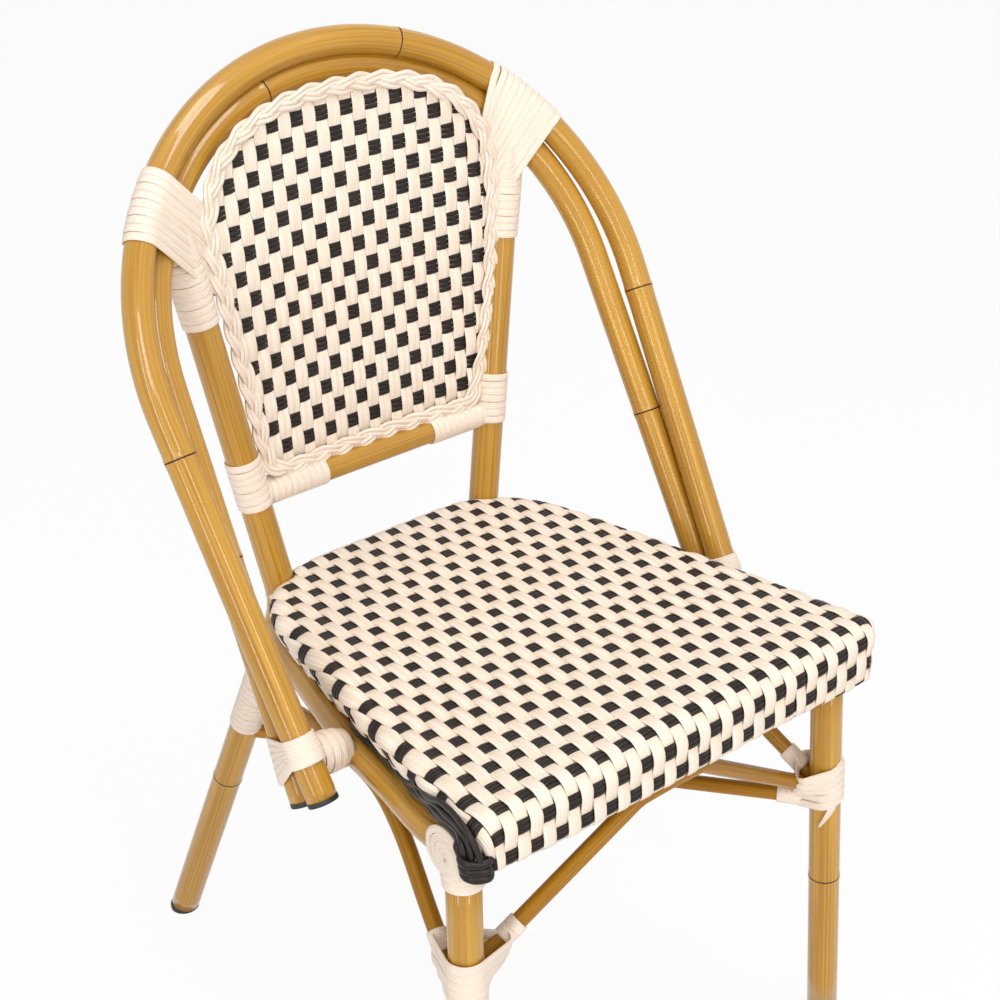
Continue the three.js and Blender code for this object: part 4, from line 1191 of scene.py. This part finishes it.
def build_hidden_frames():
    """The two frames under the weave keep their own solids, as bare tube."""
    for node in ("seat_frame", "back_frame"):
        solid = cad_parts[node]
        solid.data.materials.clear()
        solid.data.materials.append(BARE)


# Lashings

ROUND_STEPS, ROUND_THICKNESS = 40, 1.7


def bound(discs, along, lift, first=None):
    """One round of strand drawn tight round discs. Each disc is a centre, a radius and the shift of
    the strand along the tubes there. Returns the points and the outward directions, closed."""
    along = unit(vec(*along))
    if first is None:
        first = discs[1][0] - discs[0][0] if len(discs) > 1 else vec(0.3, -1, 0.2)
    first = unit(first - along * np.dot(first, along))
    second = np.cross(along, first)
    path, ups = [], []
    for k in range(ROUND_STEPS + 1):
        angle = 2 * math.pi * k / ROUND_STEPS + math.pi / ROUND_STEPS
        outward = first * math.cos(angle) + second * math.sin(angle)
        centre, radius, shift = max(discs, key=lambda d: np.dot(d[0], outward) + d[1])
        path.append(centre + outward * (radius + lift) + along * shift)
        ups.append(outward)
    return np.array(path), np.array(ups)


def round_strand(discs, along, width, lift=0.9, first=None):
    path, ups = bound(discs, along, lift, first)
    return laid(path, ups, flat_section(width, ROUND_THICKNESS, 10, 3.2), closed=True)


def wound(name, rounds, stands_for):
    joined(rounds, name, CREAM, [stands_for])


def tube_rounds(low, high, radius, pitch=6.4, swell=0.0, width=6.75):
    """Rounds of strand side by side along one straight tube, a little skew by turns."""
    length = np.linalg.norm(high - low)
    count = max(1, int(round(length / pitch)))
    along = unit(high - low)
    made = []
    for k in range(count):
        share = (k + 0.5) / count
        belly = swell * math.sin(math.pi * share)
        centre = low + (high - low) * share
        skew = vec(0.02, 0.03, 0.02) * (0.5 * math.sin(k * 2.3))
        made.append(round_strand([(centre, radius + belly, 0.0)], along + skew, width))
    return made


def leg_rounds(line, low, high, side, **form):
    """Rounds along a leg or a post, from one height to another."""
    return tube_rounds(mirrored(line(low), side), mirrored(line(high), side), LEG_R, **form)


# The fans on the hoops: the angles of their rounds, how far the first and the last one slide down the
# inner hoop, and the heights at which they pass the panel's edge.
HOOP_FANS = {
    "left": dict(angles=np.linspace(30.2, 42.8, 9), slides=(-4.0, -17.0), heights=(716.0, 784.0)),
    "right": dict(angles=[*np.linspace(32.9, 45.6, 9), 47.3, 49.2], slides=(-12.0, -12.0),
                  heights=(716.0, 800.0)),
}
PANEL_EDGE = 146.0


def hoop_rounds(side, angles, slides, heights):
    """Flat rounds over the two hoops and the panel's edge, side by side round the bend."""
    made = []
    for k, angle in enumerate(angles):
        share = k / (len(angles) - 1)
        outer, inner = mirrored(hoop_point(OUTER, angle), side), mirrored(hoop_point(INNER, angle), side)
        ahead = mirrored(hoop_point(OUTER, angle + 1), side) - outer
        slide = slides[0] + (slides[1] - slides[0]) * share
        height = heights[0] + (heights[1] - heights[0]) * share
        edge = mirrored(vec(PANEL_EDGE, panel_face(PANEL_EDGE, height) + 3, height), side)
        discs = [(outer, HOOP_R, 0.0), (inner, HOOP_R, slide), (edge, 3.0, 0.0)]
        made.append(round_strand(discs, ahead, 6.9, lift=0.9 + 0.25 * (k % 2)))
    return made


def cross_rounds(side):
    """Slanting rounds from the inner hoop to the post under it."""
    made = []
    for k in range(5):
        angle, height = 31.5 + 2 * k, 748 + 5 * k
        hoop, below = mirrored(hoop_point(INNER, angle), side), mirrored(post(height), side)
        reach = below - hoop
        ahead = mirrored(hoop_point(INNER, angle + 1) - hoop_point(INNER, angle - 1), side)
        ahead = ahead - reach * np.dot(ahead, reach) / np.dot(reach, reach)
        discs = [(hoop, HOOP_R - 1.0, 0.0), (below, LEG_R + 1.0, 0.0)]
        made.append(round_strand(discs, ahead, 7.0, lift=0.8))
    return made


# The rise of the hoop feet's first round, and how many rounds lie one over another.
HOOP_FEET = {"left": (-24.0, 6), "right": (-36.0, 4)}


def hoop_foot_rounds(side, hand):
    """Rounds over both hoops' lower ends, each a little lower and further out than the last."""
    made = []
    top, count = HOOP_FEET[hand]
    ahead = mirrored(hoop_leg(OUTER, top + 10), side) - mirrored(hoop_leg(OUTER, top), side)
    for k in range(count):
        outer = mirrored(hoop_leg(OUTER, top - 3.0 * k), side)
        inner = mirrored(hoop_leg(INNER, top - 11 - 6.3 * k), side)
        discs = [(outer, HOOP_R, 0.0), (inner, HOOP_R, 0.0)]
        made.append(round_strand(discs, ahead, 9.0, lift=0.9 + 0.35 * k))
    return made


def stub_rounds(side):
    """The round knot on the stub, a little above its axis."""
    raised = vec(0, 0, 6)
    seat, tip = stub_line()
    low = mirrored(seat + (tip - seat) * 0.24 + raised, side)
    return tube_rounds(low, mirrored(tip + raised, side), STUB_R, swell=4.2, width=7.2)


# How far from the middle the strand on the lumbar rail starts, and how far before the post it ends.
LUMBAR_START, LUMBAR_STOP = {"left": 57.0, "right": 60.0}, 8


def lumbar_rounds(side, hand):
    start = mirrored(lumbar_point(LUMBAR_START[hand]), side)
    stop = mirrored(lumbar_point(post(LUMBAR_HEIGHT)[0] - LUMBAR_STOP), side)
    return tube_rounds(start, stop, LUMBAR_R)


def collar_rounds(side):
    """Two wide rounds under the front corner."""
    low, high = mirrored(front_leg(367), side), mirrored(front_leg(385), side)
    return tube_rounds(low, high, LEG_R + 0.6, pitch=9.0, swell=0.6, width=10.4)


def build_lashings():
    for side, hand in SIDES:
        fan_rounds = hoop_rounds(side, **HOOP_FANS[hand]) + cross_rounds(side)
        wound(f"hoop_binding_{hand}", fan_rounds, f"hoop_lashing_{hand}")
        wound(f"post_binding_{hand}", leg_rounds(post, 690, 774, side, swell=0.8), f"post_lashing_{hand}")
        wound(f"waist_binding_{hand}", leg_rounds(post, 518, 564, side), f"waist_lashing_{hand}")
        wound(f"lumbar_binding_{hand}", lumbar_rounds(side, hand), f"lumbar_lashing_{hand}")
        wound(f"hoop_foot_binding_{hand}", hoop_foot_rounds(side, hand), f"hoop_foot_lashing_{hand}")
        wound(f"stub_binding_{hand}", stub_rounds(side), f"stub_lashing_{hand}")
        wound(f"rear_leg_binding_{hand}", leg_rounds(rear_leg, 266, 344, side), f"rear_leg_lashing_{hand}")
        wound(f"front_knot_{hand}", front_knot(side, hand), f"front_leg_lashing_{hand}")
        wound(f"front_collar_binding_{hand}", collar_rounds(side), f"front_collar_{hand}")
        wound(f"corner_coil_{hand}", corner_coil(side), f"corner_rosette_{hand}")


def sleeve(line, start, stop, side):
    """Two wide rounds on a brace, at distances along it."""
    low, high = between((start, stop), distances(line), line)
    pitch = (stop - start) / 2
    return tube_rounds(mirrored(low, side), mirrored(high, side), BRACE_R, pitch, width=pitch * 1.12)


# The slings round a front leg: their number, the height of the lowest one, how far out they take the
# braces in, and the direction that they are stacked in.
KNOTS = {
    "left": dict(count=6, lowest=257.0, widest=37.0, tilt=(0.0, 0.0, 1.0)),
    "right": dict(count=5, lowest=252.0, widest=22.0, tilt=(-0.34, 0.24, 1.0)),
}
# Distances along each brace at which its sleeve starts and stops.
SLEEVES = {
    "left": ((side_brace_line(), 41, 58), (front_brace_line(), 40, 58)),
    "right": ((side_brace_line(), 28, 48), (diagonal_line(*DIAGONALS["upper_diagonal"]), 20, 42)),
}


def slings(side, count, lowest, widest, tilt):
    """Wide rounds that sling the side brace and the front brace to the leg."""
    ways = resampled(side_brace_line()[:24], 2.0), resampled(front_brace_line()[:3], 2.0)
    made = []
    for k in range(count):
        height = lowest + 8.0 * k
        leg = front_leg(height)
        discs = [(mirrored(leg, side), LEG_R + 0.8, 0.0)]
        for way in ways:
            spot = way[np.argmin(np.abs(way[:, 2] - height))]
            out = vec(spot[0], spot[1], height) - leg
            far = min(np.linalg.norm(out), widest)
            discs.append((mirrored(leg + unit(out) * far, side), BRACE_R + 0.4, -0.22 * far))
        made.append(round_strand(discs, tilt, 9.0, lift=1.0 + 0.25 * (k % 2), first=vec(1, 0, 0)))
    return made


def loose_tail():
    """The loose end of strand at the right knot, which thins as it goes down the leg."""
    points, top, fall, reach = 12, 250, 24, 15.4
    turns, drop = np.linspace(-1.95, -2.75, points), np.linspace(0, 1, points)
    leg = front_leg(240)
    out = np.column_stack([np.cos(turns), np.sin(turns), np.zeros(points)])
    tail = vec(leg[0], leg[1], top) + out * reach - vec(0, 0, fall) * drop[:, None]
    return laid(tail, out, flat_section(7.5, 1.4, 8, 3.0), scale=1.0 - 0.75 * drop)


def front_knot(side, hand):
    """The slings of a front leg with a sleeve on two of the braces, and on the right a loose tail."""
    made = slings(side, **KNOTS[hand])
    for line, start, stop in SLEEVES[hand]:
        made += sleeve(line, start, stop, side)
    return made if hand == "left" else [*made, loose_tail()]


def corner_coil(side):
    """A flat spiral of strand on the outer side of the rail's front corner, and three rounds of the
    leg behind it."""
    windings, first_reach, pitch, start = 4.6, 2.0, 4.35, 0.6
    middle, shift, face, crown = (27.0, 397.6), (7.0, 2.0), 213.8, 3.2
    turns = np.linspace(0, windings * 2 * math.pi, 170)
    reach = first_reach + pitch * turns / (2 * math.pi)
    drift = (reach / 22.0) ** 2
    y = middle[0] + shift[0] * drift + reach * np.cos(turns + start)
    z = middle[1] + shift[1] * drift + reach * np.sin(turns + start)
    x = face + crown * (1 - (reach / 24) ** 2)
    path = mirrored(np.stack([x, y, z], 1), side)
    out = mirrored(np.column_stack([np.ones(len(turns)), (y - 33) / 80, (z - 400) / 80]), side)
    made = [laid(path, out, flat_section(6.4, 2.2, 8, 3.0))]
    for k in range(3):
        centre = mirrored(vec(199.0, 31.0, 377.0 + 7.0 * k), side)
        disc = (centre, LEG_R + 1.6 - 0.8 * k, 0.0)
        made.append(round_strand([disc], mirrored(vec(0.1, 0.25, 1.0), side), 8.6))
    return made


set_camera()
set_light()
set_floor()
build_tubes()
build_plugs()
build_seat_cream()
build_seat_black()
build_back_cream()
build_back_black()
build_braid()
build_frame_binding()
build_edging()
build_hidden_frames()
build_lashings()
